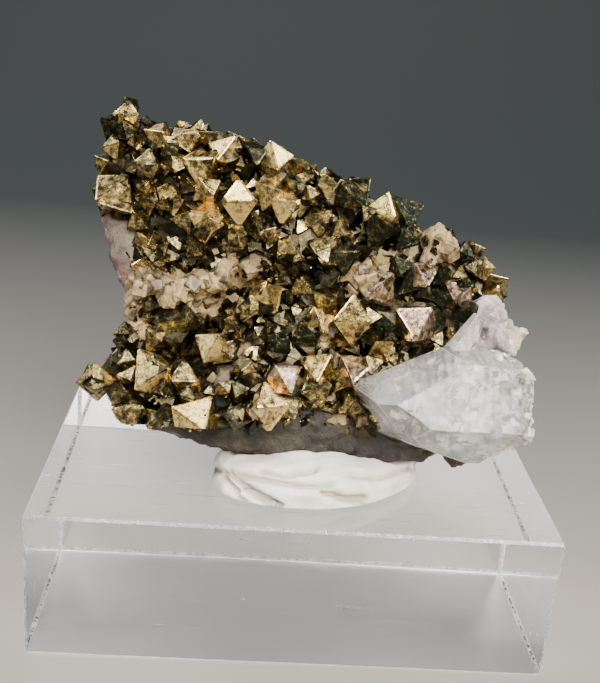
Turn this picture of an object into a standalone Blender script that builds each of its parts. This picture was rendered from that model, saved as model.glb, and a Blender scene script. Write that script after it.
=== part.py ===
"""Pyrite druse with a quartz point, held by putty on a clear display block.

Lengths are written in millimetres and turned to metres as each mesh is made.
"""

import math
import random

import bmesh
import bpy
from mathutils import Matrix, Vector, noise

MM = 0.001

# Line along which the elements of a mesh are put in order
ORDER_LINE = Vector((1.0, 0.618, 0.382))

# Display block, cut from clear acrylic sheet
BLOCK_LENGTH = 50.0
BLOCK_DEPTH = 30.0
BLOCK_HEIGHT = 15.0
BLOCK_EDGE = 0.25

# Clear distance kept between pieces that touch
GAP = 0.3

# Specimen frame: x across, y up the crystal face, z out towards the viewer
FACE_Y = -8.0
FACE_Z = 19.5
FACE_LEAN = 25.0

# Matrix rock: outline around its middle as angle in degrees and radius
ROCK_MIDDLE = (0.0, 14.0)
ROCK_OUTLINE = (
    (0, 19.6), (13, 19.4), (24, 17.2), (33, 14.0), (45, 14.4), (66, 12.8), (90, 14.2),
    (112, 17.8), (130, 22.4), (140, 26.8), (150, 25.0), (164, 21.6), (178, 18.0),
    (190, 17.4), (203, 22.3), (216, 20.0), (238, 16.8), (255, 15.4), (272, 14.9),
    (295, 15.9), (314, 19.8), (332, 19.4), (347, 19.4),
)
ROCK_SEGMENTS = 44
ROCK_RINGS = 11
ROCK_SHOULDER = -2.4
ROCK_DEPTH_LOW = 11.5
ROCK_DEPTH_TOP = 8.5
ROCK_ROUGHNESS = 0.6
ROCK_GRAIN = 4.5
ROCK_SEED = 5
UNDERSIDE_FRONT_Z = 18.1
UNDERSIDE_SLOPE = 7.0

# Flat breaks on the back and sides: a point on each and the way it looks
ROCK_BREAKS = (
    ((0.0, 10.0, -10.4), (0.10, -0.16, -1.0)),
    ((6.0, 22.0, -7.2), (0.42, 0.50, -0.78)),
    ((-14.0, 24.0, -7.8), (-0.46, 0.30, -0.85)),
    ((-17.6, 12.0, -5.0), (-0.93, -0.28, -0.20)),
    ((15.0, 8.0, -8.0), (0.62, -0.10, -0.78)),
    ((-2.0, 29.4, -4.0), (0.22, 0.97, 0.0)),
)

# Broad rise and fall of the crystal face: x, y, half width, half height, rise
BANKS = (
    (-10, 26, 14, 5, 2.2),
    (8, 22, 7, 4, 1.6),
    (-8, 4.5, 14, 4, 2.6),
    (11, 13, 6, 4, 1.6),
    (-13, 13, 6, 3, -1.6),
)

# How far the rock lies behind the crystal faces, the massive pyrite bed between them,
# and the windows where the rock comes through
ROCK_BEHIND = 2.3
BED_THICKNESS = 1.0
BED_INSET = -0.1
BED_SEGMENTS = 36
BED_RINGS = 7
WINDOWS = (
    (-14.5, 15.0, 2.6, 1.6, 2.0),
    (-10.5, 14.3, 2.8, 2.0, 1.9),
    (-6.8, 17.2, 3.0, 1.4, 1.6),
    (5.6, 16.9, 1.7, 1.9, 2.2),
    (-2.0, 11.0, 3.2, 0.7, 1.7),
    (-7.6, 7.2, 1.0, 2.4, 1.8),
    (12.0, 20.6, 1.7, 2.4, 2.4),
    (18.6, 13.0, 2.2, 3.6, 2.6),
    (-19.2, 18.8, 1.9, 3.4, 1.8),
)

# Blocky tan and cream lumps grown on the rock: x, y, rise, length, width, turn, tip, toward
LUMPS = (
    (-15.8, 15.6, 0.9, 3.0, 2.6, 20, 25, 60),
    (-13.2, 14.6, 1.0, 3.2, 2.6, 50, 20, 120),
    (-10.7, 15.7, 1.0, 3.2, 2.3, 10, 25, 90),
    (-12.0, 13.2, 0.7, 2.6, 2.4, 35, 20, 200),
    (-8.6, 16.6, 0.9, 3.0, 2.0, 70, 25, 80),
    (-5.6, 17.6, 0.9, 3.0, 2.2, 25, 20, 60),
    (5.2, 17.4, 1.0, 2.0, 1.9, 12, 15, 110),
    (7.0, 18.2, 0.9, 2.4, 1.3, 60, 20, 40),
    (4.2, 15.9, 0.6, 1.6, 1.2, 30, 25, 200),
    (-7.7, 6.6, 1.0, 1.5, 1.9, 4, 12, 180),
    (-5.9, 9.2, 0.9, 1.8, 1.3, 30, 25, 70),
    (-3.2, 11.2, 0.9, 3.2, 1.1, -10, 20, 90),
    (1.5, 10.9, 0.6, 1.4, 1.0, 40, 20, 90),
    (-5.0, 2.6, 0.4, 1.8, 1.8, 30, 25, 300),
    (12.2, 21.2, 0.8, 2.6, 3.2, 15, 20, 60),
    (11.6, 19.6, 0.9, 2.2, 2.0, 50, 15, 100),
    (17.6, 14.6, 0.8, 3.4, 3.0, 20, 15, 150),
    (18.9, 12.2, 0.6, 3.0, 3.4, 65, 20, 20),
    (16.9, 0.9, -1.6, 3.4, 2.0, 10, 20, 290),
)

# Lower limit of the crystals above the bare underside of the rock: x, y
CRUST_FOOT = ((-22, 1.2), (-15.3, 0.0), (-9.7, 0.6), (-3.1, 1.6), (3.6, 2.0), (10, 2.0), (15, 1.2), (22, 1.2))

# Crystals within this distance of the rock's outline are set back by up to the drop
RIM_WIDTH = 2.4
RIM_DROP = 1.6

# Pyrite crystals read from the specimen, each by the octahedral face it shows:
# x, y, rise, edge, turn of a corner from straight up, tip of the face and the direction
# it tips toward (0 right, 90 up), and the share of each corner that is cut off
UPPER_BANK = (
    (-18.9, 31.0, 0.0, 2.5, 62, 35, 270, 0.0),
    (-20.4, 30.1, 0.0, 2.5, 47, 33, 220, 0.0),
    (-19.2, 29.4, 0.5, 1.8, 111, 27, 200, 0.0),
    (-15.8, 30.7, 0.0, 2.6, 98, 48, 105, 0.0),
    (-13.7, 30.0, 0.2, 2.2, 34, 48, 125, 0.0),
    (-14.0, 28.4, 0.5, 1.5, 84, 39, 77, 0.0),
    (-11.5, 27.6, 0.6, 3.0, 3, 50, 100, 0.0),
    (-16.5, 26.8, 0.4, 2.8, 114, 30, 114, 0.08),
    (-20.2, 24.4, 0.2, 3.7, 46, 45, 140, 0.0),
    (-21.1, 26.6, -0.4, 2.0, 44, 45, 198, 0.0),
    (-17.2, 28.8, 0.2, 1.6, 20, 30, 60, 0.0),
    (-19.9, 27.8, -0.2, 2.0, 80, 35, 250, 0.0),
    (-15.0, 28.6, 0.2, 1.5, 0, 40, 240, 0.0),
    (-12.4, 29.2, 0.1, 1.8, 60, 35, 250, 0.0),
    (-14.2, 24.3, 0.3, 2.0, 111, 45, 70, 0.0),
    (-16.9, 24.7, 0.2, 1.6, 55, 40, 114, 0.0),
    (-18.2, 23.4, 0.0, 1.8, 109, 45, 320, 0.0),
    (-16.2, 22.7, 0.0, 2.4, 60, 55, 250, 0.0),
    (-13.4, 26.6, 0.2, 1.9, 30, 20, 300, 0.3),
    (-12.6, 24.6, 0.0, 2.2, 15, 30, 230, 0.1),
    (-9.6, 28.6, 0.7, 3.0, 62, 42, 139, 0.0),
    (-8.2, 28.9, 0.3, 1.8, 116, 35, 146, 0.0),
    (-8.6, 30.3, -0.4, 2.4, 20, 50, 95, 0.0),
    (-10.9, 30.2, -0.4, 2.2, 70, 45, 80, 0.0),
    (-6.0, 28.2, 0.4, 2.4, 61, 20, 337, 0.2),
    (-6.4, 30.0, -0.6, 2.2, 0, 50, 80, 0.0),
    (-3.7, 28.4, 0.4, 2.9, 45, 38, 20, 0.0),
    (-1.6, 28.2, -0.7, 2.2, 70, 45, 60, 0.0),
    (-2.3, 26.2, 0.3, 1.8, 9, 50, 60, 0.0),
    (-4.4, 25.4, 0.6, 2.8, 97, 45, 86, 0.0),
    (-3.0, 24.4, 0.7, 2.9, 110, 45, 92, 0.1),
    (-7.4, 24.1, 0.9, 3.4, 4, 25, 90, 0.16),
    (-10.2, 24.8, 0.4, 2.3, 70, 35, 49, 0.0),
    (-10.4, 22.5, 0.5, 3.2, 116, 45, 93, 0.0),
    (-17.2, 20.9, 0.0, 2.2, 10, 35, 250, 0.0),
    (-13.6, 22.8, 0.1, 2.0, 60, 25, 280, 0.0),
    (-15.1, 19.6, -0.2, 2.2, 20, 30, 100, 0.1),
    (-12.6, 21.4, 0.0, 2.4, 85, 30, 260, 0.0),
    (-10.0, 20.9, 0.1, 2.2, 35, 35, 270, 0.0),
)
CENTRE_AND_RIGHT = (
    (-7.3, 21.3, 0.4, 2.0, 105, 37, 44, 0.0),
    (-6.3, 21.2, 0.8, 2.7, 117, 42, 200, 0.0),
    (-6.8, 20.0, 0.3, 1.7, 56, 40, 28, 0.0),
    (-11.2, 19.4, 0.3, 1.5, 73, 40, 63, 0.0),
    (-4.5, 21.4, 0.3, 1.6, 14, 45, 112, 0.0),
    (-2.3, 19.6, 0.6, 2.0, 118, 29, 353, 0.0),
    (-0.4, 25.0, 0.1, 1.7, 40, 30, 60, 0.1),
    (1.1, 25.4, 0.0, 1.9, 65, 35, 300, 0.1),
    (2.9, 24.3, -0.3, 3.6, 16, 45, 235, 0.0),
    (4.2, 26.4, -0.8, 2.0, 90, 45, 60, 0.0),
    (6.4, 24.0, 0.8, 3.1, 103, 26, 111, 0.0),
    (9.1, 24.0, 0.7, 3.5, 58, 27, 33, 0.0),
    (2.9, 22.1, 0.3, 1.8, 93, 48, 37, 0.0),
    (0.4, 22.1, -0.2, 2.6, 70, 30, 260, 0.0),
    (6.1, 21.6, 0.6, 3.6, 33, 30, 230, 0.0),
    (8.9, 20.9, 0.0, 2.4, 20, 30, 260, 0.1),
    (0.9, 19.8, 0.7, 3.3, 63, 33, 147, 0.0),
    (3.1, 18.6, 0.7, 3.0, 65, 33, 272, 0.0),
    (-0.5, 18.4, 0.1, 1.6, 68, 45, 50, 0.0),
    (1.9, 15.6, 0.5, 3.0, 76, 52, 101, 0.0),
    (-0.9, 15.9, -0.2, 2.4, 10, 35, 240, 0.0),
    (1.6, 13.0, 0.6, 2.8, 52, 33, 33, 0.0),
    (4.1, 13.6, 1.3, 3.6, 117, 30, 108, 0.0),
    (7.1, 15.8, 0.7, 3.4, 102, 35, 316, 0.0),
    (8.9, 18.6, 0.1, 2.4, 45, 30, 80, 0.1),
    (9.6, 16.8, 0.0, 2.6, 15, 30, 300, 0.0),
    (11.2, 18.0, 0.6, 2.7, 60, 24, 37, 0.0),
    (12.9, 17.8, 0.0, 2.0, 20, 35, 320, 0.0),
    (10.0, 13.3, 1.2, 3.7, 64, 17, 139, 0.12),
    (7.4, 13.0, -0.3, 2.0, 10, 40, 80, 0.0),
    (12.6, 13.4, 0.0, 2.2, 30, 45, 340, 0.1),
    (12.9, 15.6, -0.6, 2.2, 80, 30, 260, 0.0),
    (15.2, 20.6, 0.4, 2.0, 112, 35, 41, 0.0),
    (14.1, 20.2, 0.0, 2.0, 20, 35, 200, 0.0),
    (16.8, 20.9, 0.0, 2.1, 50, 30, 350, 0.15),
    (17.4, 19.6, 0.2, 1.8, 0, 35, 90, 0.0),
    (18.7, 18.2, 0.3, 2.5, 50, 50, 81, 0.0),
    (16.4, 18.7, 0.0, 1.8, 90, 40, 250, 0.0),
    (15.4, 17.5, 0.3, 1.6, 95, 50, 44, 0.0),
    (14.3, 16.7, 0.3, 2.9, 46, 40, 105, 0.0),
    (15.3, 13.9, 0.2, 2.4, 105, 40, 247, 0.0),
)
LOWER_BANK = (
    (-12.8, 10.9, 0.6, 4.3, 60, 14, 100, 0.34),
    (-15.0, 9.8, 0.0, 2.2, 30, 35, 200, 0.0),
    (-14.9, 6.9, 1.2, 3.9, 32, 34, 160, 0.0),
    (-16.8, 6.4, 0.3, 2.0, 92, 45, 117, 0.0),
    (-17.2, 8.0, -0.4, 1.8, 10, 35, 130, 0.0),
    (-19.2, 5.9, 0.2, 2.8, 29, 42, 33, 0.0),
    (-20.3, 4.8, -0.2, 1.9, 89, 50, 235, 0.25),
    (-21.0, 6.2, -0.5, 2.0, 15, 45, 160, 0.0),
    (-17.6, 5.0, 0.4, 2.0, 0, 55, 90, 0.0),
    (-16.5, 3.7, 0.7, 2.9, 6, 52, 99, 0.0),
    (-14.2, 2.7, 0.3, 1.8, 40, 35, 100, 0.0),
    (-15.7, 1.5, 0.0, 1.5, 80, 35, 270, 0.0),
    (-12.6, 5.0, 0.3, 1.6, 15, 35, 330, 0.0),
    (-12.4, 3.2, 0.3, 1.7, 50, 50, 20, 0.0),
    (-11.5, 6.7, 0.6, 2.8, 2, 28, 90, 0.12),
    (-10.9, 4.9, 0.4, 1.5, 110, 35, 60, 0.0),
    (-10.1, 3.3, 1.1, 4.0, 83, 36, 83, 0.0),
    (-9.7, 9.7, 0.8, 3.1, 58, 42, 167, 0.0),
    (-8.2, 8.6, -0.4, 2.2, 20, 35, 250, 0.0),
    (-7.2, 12.3, 0.2, 1.8, 101, 40, 50, 0.0),
    (-5.9, 13.0, 0.0, 1.7, 40, 30, 290, 0.0),
    (-3.4, 14.9, 0.6, 3.0, 70, 50, 9, 0.0),
    (-3.0, 9.6, 0.2, 2.7, 20, 18, 90, 0.3),
    (0.1, 10.4, 0.1, 2.8, 80, 20, 80, 0.3),
    (-1.6, 7.2, 0.6, 3.1, 66, 36, 19, 0.0),
    (-5.5, 7.4, 0.3, 2.1, 111, 40, 98, 0.0),
    (-6.3, 5.6, 0.2, 1.9, 40, 35, 60, 0.0),
    (-6.6, 3.3, 0.4, 2.0, 91, 40, 136, 0.0),
    (-8.1, 2.2, 0.0, 1.8, 20, 35, 250, 0.0),
    (-3.3, 4.9, 0.8, 3.3, 16, 40, 71, 0.0),
    (-1.1, 4.4, 0.5, 2.3, 70, 35, 20, 0.1),
    (0.9, 8.4, 1.0, 3.1, 67, 20, 117, 0.0),
    (4.9, 8.6, 1.0, 3.9, 51, 40, 104, 0.0),
    (7.6, 10.4, 0.3, 2.2, 67, 33, 20, 0.0),
    (6.3, 11.2, 0.2, 2.6, 88, 42, 250, 0.0),
    (3.5, 6.8, 0.3, 2.0, 30, 35, 290, 0.0),
    (1.3, 5.4, 0.3, 2.9, 80, 35, 280, 0.0),
    (4.4, 4.6, 0.0, 2.2, 10, 35, 270, 0.0),
    (7.2, 3.9, -0.2, 2.2, 50, 35, 260, 0.0),
)

# Small crystals that fill the crust between the ones above
FILLER_STEP = 4.0
FILLER_EDGE = (1.9, 2.8)
FILLER_SINK = 0.45
FILLER_TIP = 38.0
FILLER_SEED = 11

# Quartz point: a six-sided prism lying to the left, cut by the faces of its tip
QUARTZ_RADIUS = 6.1
QUARTZ_MIDDLE = (5.9, 1.1)
QUARTZ_LEFT = 2.0
QUARTZ_RIGHT = 23.0
# A point on each face as x, y, z and the way the face looks as across, up, out
QUARTZ_FACES = (
    ((2.6, 5.9, 2.5), (-0.42, 0.90, -0.10)),
    ((2.4, 5.6, 2.5), (-0.38, 0.63, 0.67)),
    ((2.4, 5.4, 2.5), (-0.46, -0.59, 0.67)),
    ((3.4, 5.2, 2.5), (-0.45, -0.89, 0.05)),
    ((2.2, 5.5, 2.0), (-0.55, 0.10, -0.80)),
    ((8.6, 2.9, 4.0), (-0.80, -0.60, 0.10)),
    ((10.0, 1.5, 3.0), (-0.27, -0.96, 0.0)),
    ((21.3, 5.0, 3.0), (0.99, 0.03, 0.12)),
    ((20.4, 9.1, 2.0), (0.86, 0.51, 0.05)),
    ((19.8, 10.0, 2.0), (0.30, 0.95, 0.05)),
    ((19.5, 1.2, 3.0), (0.50, -0.86, 0.05)),
)
# Grey shard beside the point: middle, length, radius and lie across the face
SHARD_MIDDLE = (15.2, 11.9, 2.6)
SHARD_LENGTH = 4.6
SHARD_RADIUS = 1.5
SHARD_TURN = 62.0

# Putty: outline on the block around its middle as angle and radius
PUTTY_MIDDLE = (2.4, -4.2)
PUTTY_OUTLINE = (
    (0, 10.0), (25, 10.6), (60, 8.2), (95, 7.0), (130, 7.6), (165, 9.8),
    (193, 11.0), (212, 11.0), (232, 9.2), (255, 7.9), (285, 7.2), (318, 7.6), (342, 8.8),
)
PUTTY_HEIGHT = 3.5
PUTTY_SEGMENTS = 36
PUTTY_RINGS = 16
PUTTY_FOLD = 0.4
PUTTY_FOLD_WIDTH = 1.7


def clear_scene():
    """Remove whatever the scene starts with."""
    for item in list(bpy.data.objects):
        bpy.data.objects.remove(item, do_unlink=True)


def make_collection(name):
    """A collection linked to the scene."""
    group = bpy.data.collections.new(name)
    bpy.context.scene.collection.children.link(group)
    return group


def make_material(name, colour, roughness, metallic=0.0, transmission=0.0, ior=1.45):
    """A plain material in the piece's own colour and finish."""
    material = bpy.data.materials.new(name)
    material.use_nodes = True
    shader = material.node_tree.nodes["Principled BSDF"]
    shader.inputs["Base Color"].default_value = (*colour, 1.0)
    shader.inputs["Roughness"].default_value = roughness
    shader.inputs["Metallic"].default_value = metallic
    shader.inputs["Transmission Weight"].default_value = transmission
    shader.inputs["IOR"].default_value = ior
    return material


def put_in_order(bm):
    """Order vertices, edges and faces by place, so that every run gives the same solid."""
    bm.verts.sort(key=lambda vert: vert.co.dot(ORDER_LINE))
    bm.verts.index_update()
    for elements in (bm.edges, bm.faces):
        elements.sort(key=lambda item: sum(vert.co.dot(ORDER_LINE) for vert in item.verts))
        elements.index_update()


def make_object(name, bm, group, material=None):
    """Turn a bmesh written in millimetres into an object in metres."""
    bmesh.ops.scale(bm, vec=(MM, MM, MM), verts=bm.verts)
    bmesh.ops.recalc_face_normals(bm, faces=bm.faces)
    put_in_order(bm)
    mesh = bpy.data.meshes.new(name)
    bm.to_mesh(mesh)
    bm.free()
    item = bpy.data.objects.new(name, mesh)
    group.objects.link(item)
    if material:
        mesh.materials.append(material)
    return item


def hide_cutter(item):
    """Mark an object as a guide that is not part of the build."""
    item.hide_render = True
    item.display_type = "WIRE"


def place_in_specimen(item):
    """Stand a piece of the specimen on the block, leaning back."""
    item.location = (0.0, FACE_Y * MM, FACE_Z * MM)
    item.rotation_euler = (math.radians(90.0 - FACE_LEAN), 0.0, 0.0)


def specimen_to_world():
    """The specimen frame's place, in millimetres."""
    turn = Matrix.Rotation(math.radians(90.0 - FACE_LEAN), 4, "X")
    return Matrix.Translation((0.0, FACE_Y, FACE_Z)) @ turn


def smooth_radius(outline, angle):
    """Radius of a closed outline at an angle, by a smooth curve through its points."""
    count = len(outline)
    angle %= 360.0
    after = next((k for k, point in enumerate(outline) if point[0] > angle), 0)
    before = (after - 1) % count
    start = outline[before][0]
    span = (outline[after][0] - start) % 360.0
    share = ((angle - start) % 360.0) / span
    r0, r1, r2, r3 = (outline[(before + k) % count][1] for k in (-1, 0, 1, 2))
    bend = (2 * r0 - 5 * r1 + 4 * r2 - r3) * share + 3 * (r1 - r2) * share ** 2 + (r3 - r0) * share ** 2
    return r1 + 0.5 * share * ((r2 - r0) + bend)


def hill(x, y, spot):
    """Height of one smooth rise at a place on the face."""
    middle_x, middle_y, half_x, half_y, rise = spot
    return rise * math.exp(-((x - middle_x) / half_x) ** 2 - ((y - middle_y) / half_y) ** 2)


def face_level(x, y):
    """How far the crystal face stands out at a place."""
    return sum(hill(x, y, bank) for bank in BANKS)


def rock_level(x, y):
    """How far the rock under the crystals stands out at a place."""
    return face_level(x, y) - ROCK_BEHIND + sum(hill(x, y, window) for window in WINDOWS)


def bed_level(x, y):
    """How far the pyrite under the crystals stands out, none below the crust's foot."""
    missing = min(1.0, max(0.0, 0.5 + (crust_foot(x) - y) / 1.2))
    return face_level(x, y) - ROCK_BEHIND + BED_THICKNESS - 2.0 * BED_THICKNESS * missing


def cut_away(bm, point, direction):
    """Slice off whatever lies beyond a plane and close the cut flat."""
    geometry = bm.verts[:] + bm.edges[:] + bm.faces[:]
    cut = bmesh.ops.bisect_plane(
        bm, geom=geometry, plane_co=point, plane_no=direction, dist=0.0001, clear_outer=True
    )
    rim = [part for part in cut["geom_cut"] if isinstance(part, bmesh.types.BMEdge)]
    if rim:
        bmesh.ops.edgeloop_fill(bm, edges=rim)


def tipped(turn, tip, toward):
    """Rotation of a flat thing by its turn in the face and the tip of its normal."""
    lean = math.radians(toward)
    axis = Vector((-math.sin(lean), math.cos(lean), 0.0))
    return Matrix.Rotation(math.radians(tip), 4, axis) @ Matrix.Rotation(math.radians(turn), 4, "Z")


def join_all(name, pieces, group):
    """Unite overlapping solids into the first one."""
    first = pieces[0]
    first.name = name
    others = make_collection(name + "_joined")
    for piece in pieces[1:]:
        group.objects.unlink(piece)
        others.objects.link(piece)
    joint = first.modifiers.new("join", "BOOLEAN")
    joint.operation = "UNION"
    joint.operand_type = "COLLECTION"
    joint.collection = others
    bake(first)
    for piece in list(others.objects):
        bpy.data.objects.remove(piece, do_unlink=True)
    bpy.data.collections.remove(others)
    return first


def subtract(item, cutters, solver="EXACT"):
    """Cut each cutter out of an object."""
    for cutter in cutters:
        cut = item.modifiers.new("cut", "BOOLEAN")
        cut.operation = "DIFFERENCE"
        cut.solver = solver
        cut.object = cutter
    bake(item)


def bake(item):
    """Replace an object's mesh by its evaluated one."""
    graph = bpy.context.evaluated_depsgraph_get()
    mesh = bpy.data.meshes.new_from_object(item.evaluated_get(graph))
    item.modifiers.clear()
    old = item.data
    item.data = mesh
    bpy.data.meshes.remove(old)


def keep_main_body(item, flatten=0.5):
    """Drop crumbs and closed pockets that a cut or a join leaves beside the main skin."""
    bm = bmesh.new()
    bm.from_mesh(item.data)
    put_in_order(bm)
    bmesh.ops.remove_doubles(bm, verts=bm.verts, dist=0.000004)
    bmesh.ops.dissolve_degenerate(bm, edges=bm.edges, dist=0.000002)
    unseen = set(bm.verts)
    bodies = []
    while unseen:
        edge_of = [unseen.pop()]
        body = set(edge_of)
        while edge_of:
            vert = edge_of.pop()
            for edge in vert.link_edges:
                other = edge.other_vert(vert)
                if other in unseen:
                    unseen.discard(other)
                    body.add(other)
                    edge_of.append(other)
        bodies.append(body)
    main = max(bodies, key=len)
    spare = [vert for vert in bm.verts if vert not in main]
    bmesh.ops.delete(bm, geom=spare, context="VERTS")
    bmesh.ops.dissolve_limit(bm, angle_limit=math.radians(flatten), verts=bm.verts, edges=bm.edges)
    bmesh.ops.triangulate(bm, faces=bm.faces)
    put_in_order(bm)
    bm.to_mesh(item.data)
    bm.free()
    print(item.name, "shells", sorted((len(body) for body in bodies), reverse=True)[:8])


def block(group):
    """Clear block with slightly softened edges."""
    bm = bmesh.new()
    bmesh.ops.create_cube(bm, size=1.0)
    bmesh.ops.scale(bm, vec=(BLOCK_LENGTH, BLOCK_DEPTH, BLOCK_HEIGHT), verts=bm.verts)
    bmesh.ops.translate(bm, vec=(0.0, 0.0, BLOCK_HEIGHT / 2), verts=bm.verts)
    bmesh.ops.bevel(
        bm, geom=bm.edges[:], offset=BLOCK_EDGE, segments=1, affect="EDGES", profile=0.5
    )
    material = make_material("clear acrylic", (0.93, 0.94, 0.95), 0.03, 0.0, 1.0, 1.49)
    return make_object("acrylic_block", bm, group, material)


def rock(name, grow, group, material=None):
    """Body of the matrix rock, grown all round by a margin, with its lumps."""
    bm = slab(0.0, rock_level, grow, ROCK_SEGMENTS, ROCK_RINGS)
    world_to_face = specimen_to_world().inverted()
    edge = world_to_face @ Vector((0.0, FACE_Y, UNDERSIDE_FRONT_Z - grow))
    slope = math.radians(UNDERSIDE_SLOPE)
    down = world_to_face.to_3x3() @ Vector((0.0, -math.sin(slope), -math.cos(slope)))
    cut_away(bm, edge, down)
    for point, direction in ROCK_BREAKS:
        out = Vector(direction).normalized()
        cut_away(bm, Vector(point) + out * grow, out)
    body = make_object(name, bm, group, material)
    pieces = [body] + [rock_lump(lump, grow, group) for lump in LUMPS]
    body = join_all(name, pieces, group)
    keep_main_body(body)
    return body


def body_point(unit, inset, level):
    """Carry a point of the unit ball to a slab with the rock's outline and a given front."""
    angle = math.degrees(math.atan2(unit.y, unit.x))
    spread = math.hypot(unit.x, unit.y) ** 0.62
    radius = (smooth_radius(ROCK_OUTLINE, angle) - inset) * spread
    x = ROCK_MIDDLE[0] + radius * math.cos(math.radians(angle))
    y = ROCK_MIDDLE[1] + radius * math.sin(math.radians(angle))
    if unit.z >= 0.0:
        z = ROCK_SHOULDER + (level(x, y) - ROCK_SHOULDER) * unit.z ** 0.38
    else:
        height = min(1.0, max(0.0, y / 30.0))
        depth = ROCK_DEPTH_LOW + (ROCK_DEPTH_TOP - ROCK_DEPTH_LOW) * height
        z = ROCK_SHOULDER - (depth + ROCK_SHOULDER) * (-unit.z) ** 0.7
    point = Vector((x, y, z))
    return point + noise.noise_vector(point / ROCK_GRAIN) * ROCK_ROUGHNESS


def slab(inset, level, grow, segments, rings):
    """Rough slab with the rock's outline, grown all round by a margin."""
    bm = bmesh.new()
    bmesh.ops.create_uvsphere(bm, u_segments=segments, v_segments=rings, radius=1.0)
    for vert in bm.verts:
        vert.co = body_point(vert.co.normalized(), inset, level)
    bmesh.ops.triangulate(bm, faces=bm.faces)
    bm.normal_update()
    for vert in bm.verts:
        vert.co += vert.normal * grow
    return bm


def crust_bed(group):
    """Massive pyrite that the crystals stand on."""
    bm = slab(BED_INSET, bed_level, 0.0, BED_SEGMENTS, BED_RINGS)
    cut_away(bm, Vector((0.0, 0.0, ROCK_SHOULDER - 0.5)), Vector((0.0, 0.0, -1.0)))
    return make_object("bed", bm, group)


def rock_lump(lump, grow, group):
    """One blocky lump on the rock, chipped at two corners."""
    x, y, rise, length, width, turn, tip, toward = lump
    bm = bmesh.new()
    bmesh.ops.create_cube(bm, size=1.0)
    depth = 3.0
    size = (length + 2 * grow, width + 2 * grow, depth + 2 * grow)
    bmesh.ops.scale(bm, vec=size, verts=bm.verts)
    corner = Vector((length, width, depth)) / 2
    for side in (Vector((1, 1, 1)), Vector((-1, 1, 0.6))):
        across = side.normalized()
        face = Vector(corner[k] * side[k] for k in range(3)) * 0.62
        cut_away(bm, face + across * grow, across)
    place = Matrix.Translation((x, y, rock_level(x, y) + rise - depth / 2 + 0.6))
    bmesh.ops.transform(bm, matrix=place @ tipped(turn, tip, toward), verts=bm.verts)
    return make_object("lump", bm, group)


def octahedron(edge, cut):
    """A crystal with one face up, its centre at the origin and one corner along y."""
    bm = bmesh.new()
    reach = edge / math.sqrt(2.0)
    bmesh.ops.create_uvsphere(bm, u_segments=4, v_segments=2, radius=reach)
    if cut:
        for axis in range(3):
            for side in (1.0, -1.0):
                direction = Vector((0.0, 0.0, 0.0))
                direction[axis] = side
                cut_away(bm, direction * reach * (1.0 - cut), direction)
    out = Vector((1.0, 1.0, 1.0)).normalized()
    up = Vector((-1.0, -1.0, 2.0)).normalized()
    face_up = Matrix((up.cross(out), up, out)).to_4x4()
    sink = Matrix.Translation((0.0, 0.0, -edge / math.sqrt(6.0)))
    bmesh.ops.transform(bm, matrix=sink @ face_up, verts=bm.verts)
    return bm


def rim_room(x, y):
    """Distance from a place on the face to the rock's outline."""
    dx = x - ROCK_MIDDLE[0]
    dy = y - ROCK_MIDDLE[1]
    angle = math.degrees(math.atan2(dy, dx))
    return smooth_radius(ROCK_OUTLINE, angle) - math.hypot(dx, dy)


def crystal(values, group):
    """One pyrite crystal standing on the face, set back where the rock rounds off at its rim."""
    x, y, rise, edge, turn, tip, toward, cut = values
    bm = octahedron(edge, cut)
    near_rim = 1.0 - min(1.0, max(0.0, rim_room(x, y) / RIM_WIDTH))
    level = face_level(x, y) + rise - RIM_DROP * near_rim ** 2
    place = Matrix.Translation((x, y, level))
    bmesh.ops.transform(bm, matrix=place @ tipped(turn, tip, toward), verts=bm.verts)
    return make_object("crystal", bm, group)


def crust_foot(x):
    """Lowest place of the crystals at a distance across."""
    for (x0, y0), (x1, y1) in zip(CRUST_FOOT, CRUST_FOOT[1:]):
        if x0 <= x <= x1:
            return y0 + (y1 - y0) * (x - x0) / (x1 - x0)
    return CRUST_FOOT[-1][1]


def in_crust(x, y):
    """Whether the crust covers a place on the face."""
    inside = rim_room(x, y) > 0.7
    open_rock = any(hill(x, y, window) > 0.45 * window[4] for window in WINDOWS)
    under_quartz = x > 8.0 and abs(y - QUARTZ_MIDDLE[0]) < QUARTZ_RADIUS * 0.8
    return inside and y > crust_foot(x) + 0.5 and not open_rock and not under_quartz


def filler_crystals(listed):
    """Places and sizes of the small crystals between the listed ones."""
    dice = random.Random(FILLER_SEED)
    fillers = []
    row_step = FILLER_STEP * math.sqrt(3.0) / 2.0
    for row in range(int(36 / row_step)):
        for column in range(int(48 / FILLER_STEP)):
            x = -23.0 + (column + 0.5 * (row % 2)) * FILLER_STEP + dice.uniform(-0.4, 0.4)
            y = -1.0 + row * row_step + dice.uniform(-0.4, 0.4)
            edge = dice.uniform(*FILLER_EDGE)
            turn = dice.uniform(0.0, 120.0)
            tip = dice.uniform(8.0, FILLER_TIP)
            toward = dice.uniform(0.0, 360.0)
            near = any(math.hypot(x - c[0], y - c[1]) < 0.34 * c[3] for c in listed)
            if in_crust(x, y) and not near:
                fillers.append((x, y, -FILLER_SINK, edge, turn, tip, toward, 0.0))
    return fillers


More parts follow.
